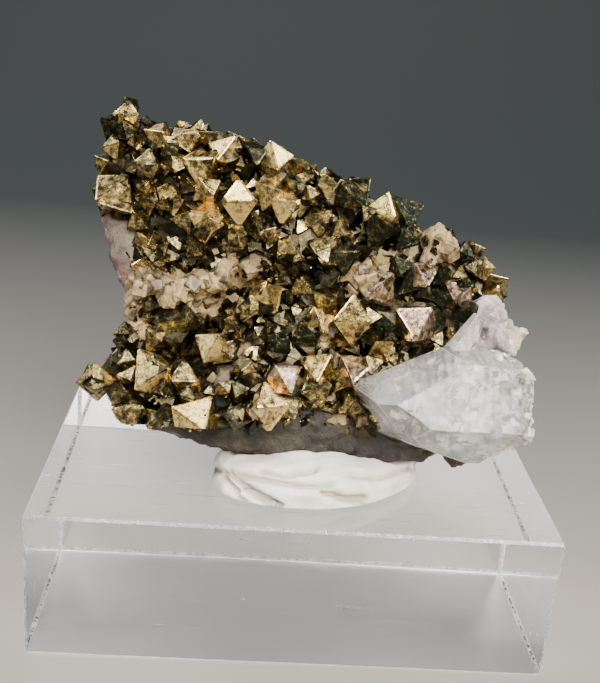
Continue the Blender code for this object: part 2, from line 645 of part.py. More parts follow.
def quartz(name, grow, group, material=None):
    """Quartz point with its shard, grown all round by a margin."""
    bm = bmesh.new()
    length = QUARTZ_RIGHT - QUARTZ_LEFT
    bmesh.ops.create_cone(
        bm, cap_ends=True, segments=6, depth=length,
        radius1=QUARTZ_RADIUS + grow * 1.155, radius2=QUARTZ_RADIUS + grow * 1.155,
    )
    lie = Matrix.Rotation(math.radians(90.0), 4, "Y")
    middle = ((QUARTZ_LEFT + QUARTZ_RIGHT) / 2, *QUARTZ_MIDDLE)
    bmesh.ops.transform(bm, matrix=Matrix.Translation(middle) @ lie, verts=bm.verts)
    for point, direction in QUARTZ_FACES:
        out = Vector(direction).normalized()
        cut_away(bm, Vector(point) + out * grow, out)
    body = make_object(name, bm, group, material)
    shard = bmesh.new()
    bmesh.ops.create_cone(
        shard, cap_ends=True, segments=6, depth=SHARD_LENGTH + 2 * grow,
        radius1=SHARD_RADIUS + grow * 1.155, radius2=0.45 * SHARD_RADIUS + grow * 1.155,
    )
    turn = Matrix.Rotation(math.radians(SHARD_TURN), 4, "Z") @ lie
    bmesh.ops.transform(shard, matrix=Matrix.Translation(SHARD_MIDDLE) @ turn, verts=shard.verts)
    body = join_all(name, [body, make_object("shard", shard, group)], group)
    keep_main_body(body)
    return body


def putty(group):
    """Soft lump pressed flat on the block, with the twist of its folds."""
    bm = bmesh.new()
    bmesh.ops.create_uvsphere(bm, u_segments=PUTTY_SEGMENTS, v_segments=PUTTY_RINGS, radius=1.0)
    low = BLOCK_HEIGHT + GAP
    for vert in bm.verts:
        unit = vert.co.copy()
        angle = math.degrees(math.atan2(unit.y, unit.x))
        spread = math.hypot(unit.x, unit.y) ** 0.7
        radius = smooth_radius(PUTTY_OUTLINE, angle) * spread
        x = PUTTY_MIDDLE[0] + radius * math.cos(math.radians(angle))
        y = PUTTY_MIDDLE[1] + radius * math.sin(math.radians(angle))
        height = max(0.0, unit.z) ** 0.6
        fold = PUTTY_FOLD * math.sin((x + 1.6 * y) / PUTTY_FOLD_WIDTH) * spread
        vert.co = (x, y, low + (PUTTY_HEIGHT + fold) * height)
    flat = [face for face in bm.faces if face.calc_center_median().z < low + 0.001]
    bmesh.ops.dissolve_faces(bm, faces=flat)
    material = make_material("white putty", (0.86, 0.84, 0.80), 0.6)
    return make_object("mounting_putty", bm, group, material)


def build():
    """Make every piece and fit them to each other."""
    clear_scene()
    noise.seed_set(ROCK_SEED)
    parts = make_collection("pyrite_on_block")
    cutters = make_collection("cutters")
    stone = make_material("matrix rock", (0.56, 0.50, 0.42), 0.8)
    gold = make_material("pyrite", (0.62, 0.49, 0.27), 0.3, 0.95)
    clear = make_material("quartz", (0.92, 0.92, 0.90), 0.15, 0.0, 0.6, 1.54)

    block(parts)
    matrix = rock("matrix", 0.0, parts, stone)
    point = quartz("quartz_crystals", 0.0, parts, clear)
    rock_room = rock("rock_room", GAP, cutters)
    quartz_room = quartz("quartz_room", GAP, cutters)
    lump = putty(parts)

    listed = list(UPPER_BANK + CENTRE_AND_RIGHT + LOWER_BANK)
    everything = listed + filler_crystals(listed)
    print("crystals", len(everything))
    pieces = [crust_bed(parts)] + [crystal(values, parts) for values in everything]
    crust = join_all("pyrite_crust", pieces, parts)
    crust.data.materials.append(gold)

    for item in (matrix, point, crust, rock_room, quartz_room):
        place_in_specimen(item)
    for item in (rock_room, quartz_room):
        hide_cutter(item)
    bpy.context.view_layer.update()
    subtract(matrix, [quartz_room])
    subtract(crust, [rock_room, quartz_room], "MANIFOLD")
    subtract(lump, [rock_room])
    keep_main_body(matrix, 1.0)
    keep_main_body(crust, 3.0)
    keep_main_body(lump)


build()
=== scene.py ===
# %% [markdown]
# # A pyrite druse on its display block
#
# The object is a miniature mineral specimen. A plate of pale matrix rock carries a druse,
# which is a crust of crystals grown close together, here hundreds of small brassy octahedra.
# A quartz point lies across its lower right, and white mounting putty holds the rock on a
# clear acrylic block. The frame gives every main solid, and this lesson dresses it:
# the camera and light first, then the block, the rock, the crystals, the quartz and the putty.

import math
import random

import bmesh
import bpy
import numpy as np
from mathutils import Euler, Matrix, Vector, noise
from mathutils.bvhtree import BVHTree


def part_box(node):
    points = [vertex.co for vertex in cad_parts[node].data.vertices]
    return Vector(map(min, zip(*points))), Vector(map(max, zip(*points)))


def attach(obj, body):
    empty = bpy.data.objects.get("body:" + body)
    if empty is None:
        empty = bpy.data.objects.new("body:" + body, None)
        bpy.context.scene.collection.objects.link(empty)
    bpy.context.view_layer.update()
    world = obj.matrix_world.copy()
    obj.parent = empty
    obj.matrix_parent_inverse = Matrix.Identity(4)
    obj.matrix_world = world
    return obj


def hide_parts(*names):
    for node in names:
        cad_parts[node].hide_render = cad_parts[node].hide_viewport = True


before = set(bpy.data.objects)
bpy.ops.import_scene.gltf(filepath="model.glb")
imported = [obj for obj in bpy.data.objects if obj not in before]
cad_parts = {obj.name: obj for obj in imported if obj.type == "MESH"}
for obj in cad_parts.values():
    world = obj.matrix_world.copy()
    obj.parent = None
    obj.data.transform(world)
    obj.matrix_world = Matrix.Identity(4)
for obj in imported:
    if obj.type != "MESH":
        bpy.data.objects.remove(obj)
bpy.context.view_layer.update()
noise.seed_set(7)
MM = 0.001
print("frame nodes", sorted(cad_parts))

# %% [markdown]
# The specimen leans back on the block, so its crystal face has a frame of its own: x runs
# across, y up the face and z out towards the viewer. Crystals are read from the stone in that
# frame, in millimetres, and one matrix carries them to the world in metres.

# %% The leaning frame of the crystal face
FACE_Y, FACE_Z, FACE_LEAN = -8.0, 19.5, 25.0
to_world = (
    Matrix.Scale(MM, 4)
    @ Matrix.Translation((0.0, FACE_Y, FACE_Z))
    @ Matrix.Rotation(math.radians(90.0 - FACE_LEAN), 4, "X")
)
to_face = to_world.inverted()
OUTWARD = (to_world.to_3x3() @ Vector((0.0, 0.0, 1.0))).normalized()
print("face looks towards", [round(part, 2) for part in OUTWARD])

# %% [markdown]
# The camera stands close, about nine centimetres away and a little above, as one does with a
# small specimen. A close camera gives the strong perspective that makes the block's front edge
# so much longer than its back edge, so the distance matters more here than the lens.

# %% Camera
CAMERA_AT = Vector((-6.55, -92.76, 62.68)) * MM
PITCH, YAW, ROLL = 20.57, 3.78, 5.04
FOCAL_PIXELS = 983.0
IMAGE_WIDTH, IMAGE_HEIGHT = 600.0, 683.0


def camera_turn(pitch, yaw, roll):
    """Rotation of a camera that looks along +Y, tipped down, turned right and rolled."""
    p, w, r = (math.radians(value) for value in (pitch, yaw, roll))
    ahead = Vector((math.sin(w) * math.cos(p), math.cos(w) * math.cos(p), -math.sin(p)))
    right = Vector((math.cos(w), -math.sin(w), 0.0))
    up = right.cross(ahead)
    right, up = math.cos(r) * right + math.sin(r) * up, math.cos(r) * up - math.sin(r) * right
    return Matrix((right, up, -ahead)).transposed()


def add_object(name, data):
    """A new object in the scene, at the origin."""
    thing = bpy.data.objects.new(name, data)
    bpy.context.scene.collection.objects.link(thing)
    return thing


lens = bpy.data.cameras.new("camera")
lens.sensor_width = 36.0
lens.lens = FOCAL_PIXELS / IMAGE_HEIGHT * lens.sensor_width
lens.clip_start = 0.005
camera = add_object("camera", lens)
camera.matrix_world = Matrix.Translation(CAMERA_AT) @ camera_turn(PITCH, YAW, ROLL).to_4x4()
bpy.context.scene.camera = camera
print("lens", round(lens.lens, 1), "mm")

# %% [markdown]
# A finish is a graph of nodes: noises, ramps and masks that feed one another. In the editor
# they are joined by hand. In a script a helper that adds one node a call reads more like a
# recipe. Its first half adds nodes to any tree, so the Geometry Nodes tree further on uses it
# too, and its second half knows the nodes that finishes need.

# %% Helpers for nodes
class Knit:
    """Adds nodes to a tree and feeds each of their sockets a value or another socket."""

    def __init__(self, tree):
        self.nodes, self.links = tree.nodes, tree.links

    def feed(self, value, socket):
        if isinstance(value, bpy.types.NodeSocket):
            self.links.new(value, socket)
        else:
            socket.default_value = value

    def add(self, kind, **values):
        node = self.nodes.new(kind)
        for key, value in values.items():
            if key in node.inputs:
                self.feed(value, node.inputs[key])
            else:
                setattr(node, key, value)
        return node

    def math(self, operation, first, second=0.0):
        node = self.add("ShaderNodeMath", operation=operation)
        self.feed(first, node.inputs[0])
        self.feed(second, node.inputs[1])
        return node.outputs[0]

    def plus(self, first, second):
        return self.math("ADD", first, second)

    def times(self, first, second):
        return self.math("MULTIPLY", first, second)


class Weave(Knit):
    """Adds nodes to one material, with patterns laid out in object coordinates."""

    def __init__(self, material):
        super().__init__(material.node_tree)
        self.shader = self.nodes["Principled BSDF"].inputs
        self.place = self.add("ShaderNodeTexCoord").outputs["Object"]

    def shade(self, **sockets):
        """Feed the Principled shader, where Base_Color stands for its Base Color socket."""
        for key, value in sockets.items():
            self.feed(value, self.shader[key.replace("_", " ")])

    def parts(self, vector):
        return self.add("ShaderNodeSeparateXYZ", Vector=vector).outputs

    def attribute(self, name):
        return self.add("ShaderNodeAttribute", attribute_name=name).outputs["Fac"]

    def noise(self, scale, detail=4.0, rough=0.55, distortion=0.0):
        shape = {"Scale": scale, "Detail": detail, "Roughness": rough, "Distortion": distortion}
        return self.add("ShaderNodeTexNoise", Vector=self.place, **shape).outputs["Fac"]

    def ramp(self, factor, stops):
        node = self.add("ShaderNodeValToRGB", Fac=factor)
        band = node.color_ramp
        while len(band.elements) < len(stops):
            band.elements.new(1.0)
        for element, (position, colour) in zip(band.elements, stops):
            element.position = position
            element.color = (*colour, 1.0)
        return node.outputs["Color"]

    def span(self, value, low, high, to_low=0.0, to_high=1.0):
        ends = {"From Min": low, "From Max": high, "To Min": to_low, "To Max": to_high}
        return self.add("ShaderNodeMapRange", Value=value, **ends).outputs["Result"]

    def mix(self, factor, first, second):
        node = self.add("ShaderNodeMix", data_type="RGBA")
        self.feed(factor, node.inputs[0])
        for value, socket in ((first, node.inputs[6]), (second, node.inputs[7])):
            self.feed(value if isinstance(value, bpy.types.NodeSocket) else (*value, 1.0), socket)
        return node.outputs[2]

    def bump(self, height, distance, strength=1.0, below=None):
        node = self.add("ShaderNodeBump", Height=height, Distance=distance, Strength=strength)
        if below is not None:
            self.feed(below, node.inputs["Normal"])
        return node.outputs["Normal"]


def new_material(name):
    """A material and the helper that weaves its nodes."""
    material = bpy.data.materials.new(name)
    material.use_nodes = True
    return material, Weave(material)


print("node helpers", Knit.__name__, Weave.__name__)

# %% [markdown]
# Several pieces start from a copy of a frame solid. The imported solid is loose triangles, so the
# copy is merged first. Pieces are placed in their meshes and their objects stay at the origin,
# because the surface patterns below are laid out in object coordinates.

# %% Helpers for pieces
MERGE_WITHIN = 0.002 * MM


def solid_copy(node):
    """A merged bmesh of one frame solid."""
    bm = bmesh.new()
    bm.from_mesh(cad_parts[node].data)
    bmesh.ops.remove_doubles(bm, verts=bm.verts, dist=MERGE_WITHIN)
    return bm


def add_piece(name, bm, material, smooth=False):
    """A finished bmesh as an object of one material."""
    mesh = bpy.data.meshes.new(name)
    for face in bm.faces:
        face.smooth = smooth
    bm.to_mesh(mesh)
    bm.free()
    mesh.materials.append(material)
    return add_object(name, mesh)


def apply_modifiers(piece):
    """Turn the modified shape into the piece's own mesh."""
    graph = bpy.context.evaluated_depsgraph_get()
    mesh = bpy.data.meshes.new_from_object(piece.evaluated_get(graph))
    mesh.name = piece.name
    piece.modifiers.clear()
    piece.data = mesh
    return piece


def remeshed(piece, voxel):
    """Even small faces all over a piece, ready to be shaped point by point."""
    grid = piece.modifiers.new("grid", "REMESH")
    grid.mode = "VOXEL"
    grid.voxel_size = voxel
    grid.use_smooth_shade = True
    return apply_modifiers(piece)


def points_of(mesh):
    """Vertex positions and normals of a mesh as arrays."""
    count = len(mesh.vertices)
    place = np.empty(count * 3)
    mesh.vertices.foreach_get("co", place)
    normal = np.empty(count * 3)
    mesh.vertex_normals.foreach_get("vector", normal)
    return place.reshape(-1, 3), normal.reshape(-1, 3)


def set_points(mesh, place):
    mesh.vertices.foreach_set("co", place.ravel())
    mesh.update()


def fractal(points, size, octaves=3):
    """Smooth random value between about -1 and 1 at each point, for features of one size."""
    return np.array([noise.fractal(Vector(p) / size, 0.7, 2.1, octaves) for p in points])


def rising(value, start, width):
    """0 up to the start, 1 from the start and the width on, and an even slope between."""
    return min(1.0, max(0.0, (value - start) / width))


def finish_piece(piece, node):
    """Ride on the part's one body and stand for a node, whose frame solid is hidden."""
    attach(piece, "root")
    if node:
        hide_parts(node)
    print(piece.name, len(piece.data.polygons), "faces")


frame_solids = {name: solid_copy(name) for name in ("pyrite_crust", "matrix")}
print("copied", *frame_solids)
crust_tree = BVHTree.FromBMesh(frame_solids["pyrite_crust"])
rock_tree = BVHTree.FromBMesh(frame_solids["matrix"])

# %% [markdown]
# Metal shows what is around it. A room that is bright all over would make every facet the same
# gold, so the room here is a dim grey. One large warm light stands in front and above, where
# facets that look at the viewer throw it back. Four weaker lights, above, at each side and
# behind, catch the facets that tip away, and the rest stay dark. The floor is a plain grey-brown
# sheet that darkens and curves up into a backdrop.

# %% Floor, backdrop and lights
FLOOR_COLOUR = (0.215, 0.196, 0.174)
BACKDROP_COLOUR = (0.022, 0.028, 0.029)
ROOM_COLOUR, ROOM_STRENGTH = (0.42, 0.44, 0.46, 1.0), 0.24
FLOOR_LEVEL = -0.0001
FLOOR_NEAR, FLOOR_FAR, HALF_WIDTH = -0.45, 0.17, 0.6
BEND, BEND_STEPS, WALL_TOP = 0.15, 12, 0.7


def swept_backdrop():
    """A floor that curves up behind the object into a backdrop."""
    bm = bmesh.new()
    profile = [(FLOOR_NEAR, FLOOR_LEVEL), (FLOOR_FAR, FLOOR_LEVEL)]
    for angle in np.linspace(0.1, math.pi / 2, BEND_STEPS):
        profile.append((FLOOR_FAR + BEND * math.sin(angle), BEND * (1.0 - math.cos(angle))))
    profile.append((FLOOR_FAR + BEND, WALL_TOP))
    left, right = [
        [bm.verts.new((x, y, z)) for y, z in profile] for x in (-HALF_WIDTH, HALF_WIDTH)
    ]
    for corners in zip(left, right, right[1:], left[1:]):
        bm.faces.new(corners)
    material, weave = new_material("floor_paper")
    depth = weave.parts(weave.place)["Y"]
    fade = weave.math("POWER", weave.span(depth, 0.0, FLOOR_FAR), 0.6)
    weave.shade(Base_Color=weave.mix(fade, FLOOR_COLOUR, BACKDROP_COLOUR), Roughness=0.8)
    add_piece("floor", bm, material, smooth=True)


def soft_light(name, position, size, power, colour=(1.0, 1.0, 1.0)):
    """A square soft light that looks at the middle of the specimen."""
    data = bpy.data.lights.new(name, "AREA")
    data.shape = "SQUARE"
    data.size = size
    data.energy = power
    data.color = colour
    light = add_object(name, data)
    light.location = position
    aim = Vector(CENTRE) - Vector(position)
    light.rotation_euler = aim.to_track_quat("-Z", "Y").to_euler()


swept_backdrop()
CENTRE = (0.0, -0.002, 0.03)
soft_light("key", (0.04, -0.23, 0.20), 0.18, 2.7, (1.0, 0.95, 0.88))
soft_light("top", (0.06, -0.03, 0.30), 0.10, 0.8, (1.0, 0.97, 0.92))
soft_light("side", (0.26, 0.02, 0.18), 0.10, 0.5, (0.94, 0.97, 1.0))
soft_light("left", (-0.24, -0.02, 0.19), 0.10, 0.5)
soft_light("rim", (-0.14, 0.12, 0.27), 0.12, 0.45)
world = bpy.data.worlds.new("room")
world.use_nodes = True
room = world.node_tree.nodes["Background"].inputs
room["Color"].default_value = ROOM_COLOUR
room["Strength"].default_value = ROOM_STRENGTH
bpy.context.scene.world = world

# %% [markdown]
# The display block keeps its frame solid, because a cut acrylic block is just that shape. Its
# finish does the work: clear polished faces with hair scratches, narrow bevels that were only
# scraped and are full of nicks, and an underside worn dull by the shelves it has stood on. A
# true normal that follows no axis tells the bevels from the faces. The block throws no shadow,
# because light that is bent through clear acrylic leaves the table under it bright.

# %% Acrylic block
SCRATCH_TURN = 0.7
SCRATCH_SCALE = (60.0, 2600.0, 900.0)
FLAT_FACE = 0.99
UNDERSIDE = 0.1 * MM


def acrylic_material():
    material, weave = new_material("clear_acrylic")
    weave.shade(Base_Color=(0.97, 0.98, 0.985, 1.0), Transmission_Weight=1.0, IOR=1.49)
    stretch = weave.add("ShaderNodeMapping", Vector=weave.place)
    stretch.inputs["Rotation"].default_value = (0.0, 0.0, SCRATCH_TURN)
    stretch.inputs["Scale"].default_value = SCRATCH_SCALE
    hair = weave.add("ShaderNodeTexNoise", Vector=stretch.outputs["Vector"], Scale=1.0)
    here = weave.span(weave.noise(260.0), 0.48, 0.58)
    scratch = weave.times(weave.span(hair.outputs["Fac"], 0.64, 0.70), here)
    smear = weave.span(weave.noise(90.0), 0.35, 0.75, 0.008, 0.04)
    facing = weave.add("ShaderNodeVectorMath", operation="ABSOLUTE")
    weave.feed(weave.add("ShaderNodeNewGeometry").outputs["True Normal"], facing.inputs[0])
    x, y, z = weave.parts(facing.outputs["Vector"])
    flat = weave.math("MAXIMUM", weave.math("MAXIMUM", x, y), z)
    edge = weave.math("LESS_THAN", flat, FLAT_FACE)
    below = weave.math("LESS_THAN", weave.parts(weave.place)["Z"], UNDERSIDE)
    stood_on = weave.times(below, 0.34)
    worn = weave.times(edge, weave.span(weave.noise(2600.0, 5.0), 0.42, 0.58, 0.06, 0.8))
    rough = weave.plus(smear, weave.times(scratch, 0.4))
    rough = weave.math("MAXIMUM", weave.math("MAXIMUM", rough, stood_on), worn)
    weave.shade(Roughness=rough)
    nicks = weave.plus(scratch, weave.times(edge, weave.noise(5200.0)))
    weave.shade(Normal=weave.bump(nicks, 0.00002, 0.6))
    return material


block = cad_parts["acrylic_block"]
block.data.materials.clear()
block.data.materials.append(acrylic_material())
block.visible_shadow = False
print("block faces", len(block.data.polygons))

# %% [markdown]
# The matrix rock is fine-grained. Where the druse leaves it bare it is tan, its broken left side
# is pale with thin red veins but painted darker grey as shade, the plate beside the quartz is grey
# and cream, and the underside is painted near black as shade, with a red stain along its lower
# edge. One finish holds all of this: a ramp of colours for each stone, and masks by place that
# are broken up by noise, because no such border on a real stone is straight.

# %% Rock finish
TAN_STONE = (
    (0.32, (0.070, 0.045, 0.022)), (0.45, (0.18, 0.120, 0.055)),
    (0.56, (0.31, 0.215, 0.105)), (0.70, (0.48, 0.37, 0.23)),
)
# The broken left side: pale stone painted darker grey as shade
LEFT_STONE_AND_SHADE = (
    (0.32, (0.04, 0.031, 0.021)), (0.5, (0.12, 0.10, 0.073)), (0.66, (0.24, 0.212, 0.168)),
)
PLATE_STONE = (
    (0.32, (0.07, 0.055, 0.055)), (0.44, (0.22, 0.185, 0.195)),
    (0.56, (0.40, 0.36, 0.345)), (0.70, (0.70, 0.64, 0.50)),
)
# Painted shade: the underside is coloured near black
UNDERSIDE_SHADE_STONE = (
    (0.36, (0.006, 0.0045, 0.003)), (0.5, (0.017, 0.0135, 0.009)), (0.64, (0.047, 0.038, 0.025)),
)
CREAM, RED_VEIN, RED_STAIN = (0.52, 0.43, 0.25), (0.095, 0.040, 0.036), (0.030, 0.010, 0.008)


def rock_material():
    material, weave = new_material("matrix_rock")
    across, depth, height = weave.parts(weave.place)
    patch = weave.noise(230.0, 6.0, 0.6)
    stone = weave.ramp(patch, TAN_STONE)
    left_stone_and_shade = weave.ramp(weave.noise(420.0, 5.0), LEFT_STONE_AND_SHADE)
    plate = weave.ramp(weave.noise(480.0, 6.0, 0.65), PLATE_STONE)
    stone = weave.mix(weave.span(across, 0.0135, 0.0155), stone, plate)
    patchy = weave.span(patch, 0.42, 0.56)
    cream = weave.times(weave.span(across, 0.0178, 0.0195), patchy)
    stone = weave.mix(cream, stone, CREAM)
    # Painted shade on the broken left side, with its real red veins below
    left = weave.span(across, -0.0135, -0.0185)
    stone = weave.mix(left, stone, left_stone_and_shade)
    off_middle = weave.math("SUBTRACT", weave.noise(210.0, 4.0, 0.55, 1.4), 0.5)
    vein = weave.span(weave.math("ABSOLUTE", off_middle), 0.060, 0.0)
    stone = weave.mix(weave.times(vein, left), stone, RED_VEIN)
    # Painted shade on the low front of the rock, its underside
    under = weave.ramp(weave.noise(300.0, 6.0, 0.65, 0.6), UNDERSIDE_SHADE_STONE)
    level = weave.plus(height, weave.times(patch, 0.004))
    front = weave.span(depth, 0.004, 0.0005)
    low = weave.times(weave.span(level, 0.0315, 0.0280), front)
    stone = weave.mix(low, stone, under)
    weak_front = weave.times(front, 0.7)
    rim = weave.times(weave.span(level, 0.0205, 0.0198), weak_front)
    weave.shade(
        Base_Color=weave.mix(rim, stone, RED_STAIN),
        Roughness=weave.span(patch, 0.3, 0.7, 0.75, 0.42),
    )
    fine = weave.bump(weave.noise(3600.0, 5.0), 0.00006, 0.8)
    relief = weave.bump(weave.noise(900.0, 6.0, 0.65), 0.00045, 0.8, fine)
    weave.shade(Normal=relief)
    return material


stone_finish = rock_material()
print("rock finish", stone_finish.name)

# %% [markdown]
# A copy of the frame's rock is given an even grid of small faces, then every point is moved
# along its normal by broad and fine noise and by round lumps, inwards more than outwards, so
# the rock stays within its solid. The lumps grow flat towards the plate on the right.

# %% Matrix rock
ROCK_GRID = 0.26 * MM
LUMP_SIZE, LUMP_DEPTH, LUMPS_LOST = 1.5 * MM, 0.55, 0.40
PLATE_FROM, PLATE_BLEND = 13.5, 1.5


def matrix_rock():
    piece = add_piece("matrix_rock", solid_copy("matrix"), stone_finish, smooth=True)
    remeshed(piece, ROCK_GRID)
    place, normal = points_of(piece.data)
    lumps = np.array([noise.voronoi(Vector(p) / LUMP_SIZE)[0][0] for p in place])
    plate = np.clip((place[:, 0] / MM - PLATE_FROM) / PLATE_BLEND, 0.0, 1.0)
    rough = fractal(place, 2.5 * MM) * 0.2 + fractal(place, 0.6 * MM) * 0.12
    rough = rough - lumps * (LUMP_DEPTH - LUMPS_LOST * plate) + 0.12
    set_points(piece.data, place + normal * (rough * MM)[:, None])
    finish_piece(piece, "matrix")


matrix_rock()

# %% [markdown]
# Pyrite here grew as octahedra: eight triangular faces, some with their corners cut by small
# cube faces. Each larger crystal is read from the stone by the face it shows, and takes a line
# of a table: the middle of that face across and up, the edge, the turn of a corner from straight
# up, how far the face tips and towards where, and its tone letter, which is L light gold, G gold,
# B brown, S silvery or N nearly black green. The letter is partly tarnish and partly painted light
# and shade: lighter for facets that flash, darker for facets that tip away. A last number is the
# share cut off its corners.

# %% Crystals of the upper bank
def read_bank(table):
    """One crystal a line, as numbers and its tone letter, with nothing cut if no share is given.
    """
    rows = [line.split() for line in table.strip().splitlines()]
    return [(*map(float, row[:6]), float(row[7]) if row[7:] else 0.0, row[6]) for row in rows]


UPPER_BANK = read_bank("""
-18.9 31 2.5 62 35 270 L
-20.4 30.1 2.5 47 33 220 B
-19.2 29.4 1.8 111 27 200 B
-15.8 30.4 2.3 98 48 105 L
-13.7 30 2.2 34 48 125 G
-14 28.4 1.5 84 39 77 G
-11.5 27.6 3 3 50 100 L
-16.5 26.8 2.8 114 30 114 G 0.08
-20.2 24.4 3.7 46 45 140 G
-21.1 26.6 2 44 45 198 G
-17.2 28.8 1.6 20 30 60 G
-19.9 27.8 2 80 35 250 G
-15 28.6 1.5 0 40 240 G
-12.4 29.2 1.8 60 35 250 G
-14.2 24.3 2 111 45 70 L
-16.9 24.7 1.6 55 40 114 G
-18.2 23.4 1.8 109 45 320 G
-16.2 22.7 2.4 60 55 250 G
-13.4 26.6 1.9 30 20 300 G 0.3
-12.6 24.6 2.2 15 30 230 G 0.1
-9.6 28.6 3 62 42 139 L
-8.2 28.9 1.8 116 35 146 G
-8.6 30.3 2.4 20 50 95 G
-10.9 30.2 2.2 70 45 80 G
-6 28.2 2.4 61 20 337 B 0.2
-6.4 30 2.2 0 50 80 G
-3.7 28.4 2.9 45 38 20 L
-1.6 28.2 2.2 70 45 60 G
-2.3 26.2 1.8 9 50 60 G
-4.4 25.4 2.8 97 45 86 L
-3 24.4 2.9 110 45 92 L 0.1
-7.4 24.1 3.4 4 25 90 L 0.16
-10.2 24.8 2.3 70 35 49 L
-10.4 22.5 3.2 116 38 93 L
-17.2 20.9 2.2 10 35 250 G
-13.6 22.8 2 60 25 280 G
-15.1 19.6 2.2 20 30 100 G 0.1
-17.6 22.3 2.2 60 40 280 B
-16.5 19.3 2.3 25 38 260 G
-17 18 1.9 10 40 220 B
-15.6 17.9 2 80 35 240 G
-16.6 16.4 1.8 50 38 250 L
-12.6 21.4 2.4 85 30 260 G
-10 20.9 2.2 35 35 270 G
""")
print(len(UPPER_BANK), "crystals in the upper bank")

# %% [markdown]
# In the centre and on the right the crystals stand wider apart. Several carry a black-green
# film, painted darker as shade and with painted glints, and a few by the quartz have lost theirs
# and are mottled silver.

# %% Crystals of the centre and the right
CENTRE_AND_RIGHT = read_bank("""
-7.3 21.3 2 105 37 44 G
-6.3 21.2 2.7 117 42 200 B
-6.8 20 1.7 56 40 28 G
-11.2 19.4 1.5 73 40 63 G
-4.5 21.4 1.6 14 45 112 G
-2.3 19.6 2 118 29 353 L
-0.4 25 1.7 40 30 60 G 0.1
1.1 25.4 1.9 65 35 300 G 0.1
2.9 24.3 3.6 16 45 235 B
4.2 26.4 2 90 45 60 G
6.4 24 3.1 103 26 111 L
9.1 24 3.5 58 27 33 N
2.9 22.1 1.8 93 48 37 G
0.4 22.1 2.6 70 30 260 G
6.1 21.6 3.6 33 30 230 B
8.9 20.9 2.4 20 30 260 N 0.1
0.9 19.8 3.3 63 33 147 G
3.1 18.6 3 65 33 272 B
-0.5 18.4 1.6 68 45 50 G
1.9 15.6 3 76 52 101 B
-0.9 15.9 2.4 10 35 240 G
1.6 13 2.8 52 33 33 L
4.1 13.6 3.6 117 30 108 L
7.1 15.8 3.4 102 35 316 S
8.9 18.6 2.4 45 30 80 N 0.1
9.6 16.8 2.6 15 30 300 N
11.2 18 2.7 60 24 37 S
12.9 17.8 2 20 35 320 N
10 13.3 3.7 64 17 139 S 0.12
7.4 13 2 10 40 80 N
12.6 13.4 2.2 30 45 340 N 0.1
12.9 15.6 2.2 80 30 260 N
15.2 20.6 2 112 35 41 B
14.1 20.2 2 20 35 200 N
16.8 20.9 2.1 50 30 350 G 0.15
17.4 19.6 1.8 0 35 90 G
18.7 18.2 2.5 50 50 81 L
16.4 18.7 1.8 90 40 250 G
15.4 17.5 1.6 95 50 44 N
14.3 16.7 2.9 46 40 105 S
15.3 13.9 2.4 105 40 247 N
""")
print(len(CENTRE_AND_RIGHT), "crystals in the centre and on the right")

# %% [markdown]
# The lower bank holds the largest crystals. It ends at a broken rim, and the lowest of them
# reach over it.

# %% Crystals of the lower bank
LOWER_BANK = read_bank("""
-12.8 11 4.3 75 34 262 B 0.18
-15 9.8 2.2 30 35 200 G
-14.9 6.9 3.9 32 26 150 L
-16.8 6.4 2 92 45 117 G
-17.2 8 1.8 10 35 130 G
-19.2 5.9 2.8 29 42 33 G
-20.3 4.8 1.9 89 50 235 B 0.25
-21 6.2 2 15 45 160 G
-17.6 5 2 0 55 90 B
-16.5 3.7 2.9 6 52 99 G
-14.2 2.7 1.8 40 35 100 B
-15.7 1.5 1.5 80 35 270 B
-12.6 5 1.6 15 35 330 B
-12.4 3.2 1.7 50 50 20 B
-11.5 6.7 2.8 2 28 90 G 0.12
-10.9 4.9 1.5 110 35 60 B
-10.1 3.3 4 83 36 83 L
-9.7 9.7 3.1 58 42 167 L
-8.2 8.6 2.2 20 35 250 G
-7.2 12.3 1.8 101 40 50 G
-5.9 13 1.7 40 30 290 G
-3.4 14.9 3 70 50 9 L
-3 9.6 2.7 20 34 255 N 0.22
0.1 10.4 2.8 80 36 280 N 0.2
-1.6 7.2 3.1 66 36 19 S
-5.5 7.4 2.1 111 40 98 G
-6.3 5.6 1.9 40 35 60 B
-6.6 3.3 2 91 40 136 B
-8.1 2.2 1.8 20 35 250 B
-3.3 4.9 3.3 16 40 71 L
-1.1 4.4 2.3 70 35 20 G 0.1
0.9 8.4 3.1 67 20 117 L
4.9 8.6 3.9 51 40 104 S
7.6 10.4 2.2 67 33 20 L
6.3 11.2 2.6 88 42 250 B
3.5 6.8 2 30 35 290 G
1.3 5.4 2.9 80 35 280 G
4.4 4.6 2.2 10 35 270 G
7.2 3.9 2.2 50 35 260 G
""")
CRYSTALS = UPPER_BANK + CENTRE_AND_RIGHT + LOWER_BANK
print(len(LOWER_BANK), "crystals in the lower bank")

# %% [markdown]
# Metal colour comes from the base colour alone, so the tone of each crystal is stored as
# numbers on its faces: tone from dark brown to light gold, which is partly tarnish and partly
# painted light and shade, green for the black-green film, which is painted darker as shade and
# carries painted glints, and silver for mottled facets. Noise breaks them up, a fine bump gives
# the dull growth lines, and the roughness stays low enough for facets to flash. The same finish
# is made three times: as it is, darker with painted shade for the depths between crystals, and
# lighter with a painted highlight for the bevelled edges.

# %% Pyrite finish
# Tones by letter: partly tarnish, partly painted light and shade
TARNISH_AND_LIGHT_TONES = {"L": (1.0, 0.0), "G": (0.62, 0.1), "B": (0.26, 0.15), "S": (0.85, 0.0), "N": (0.22, 0.95)}
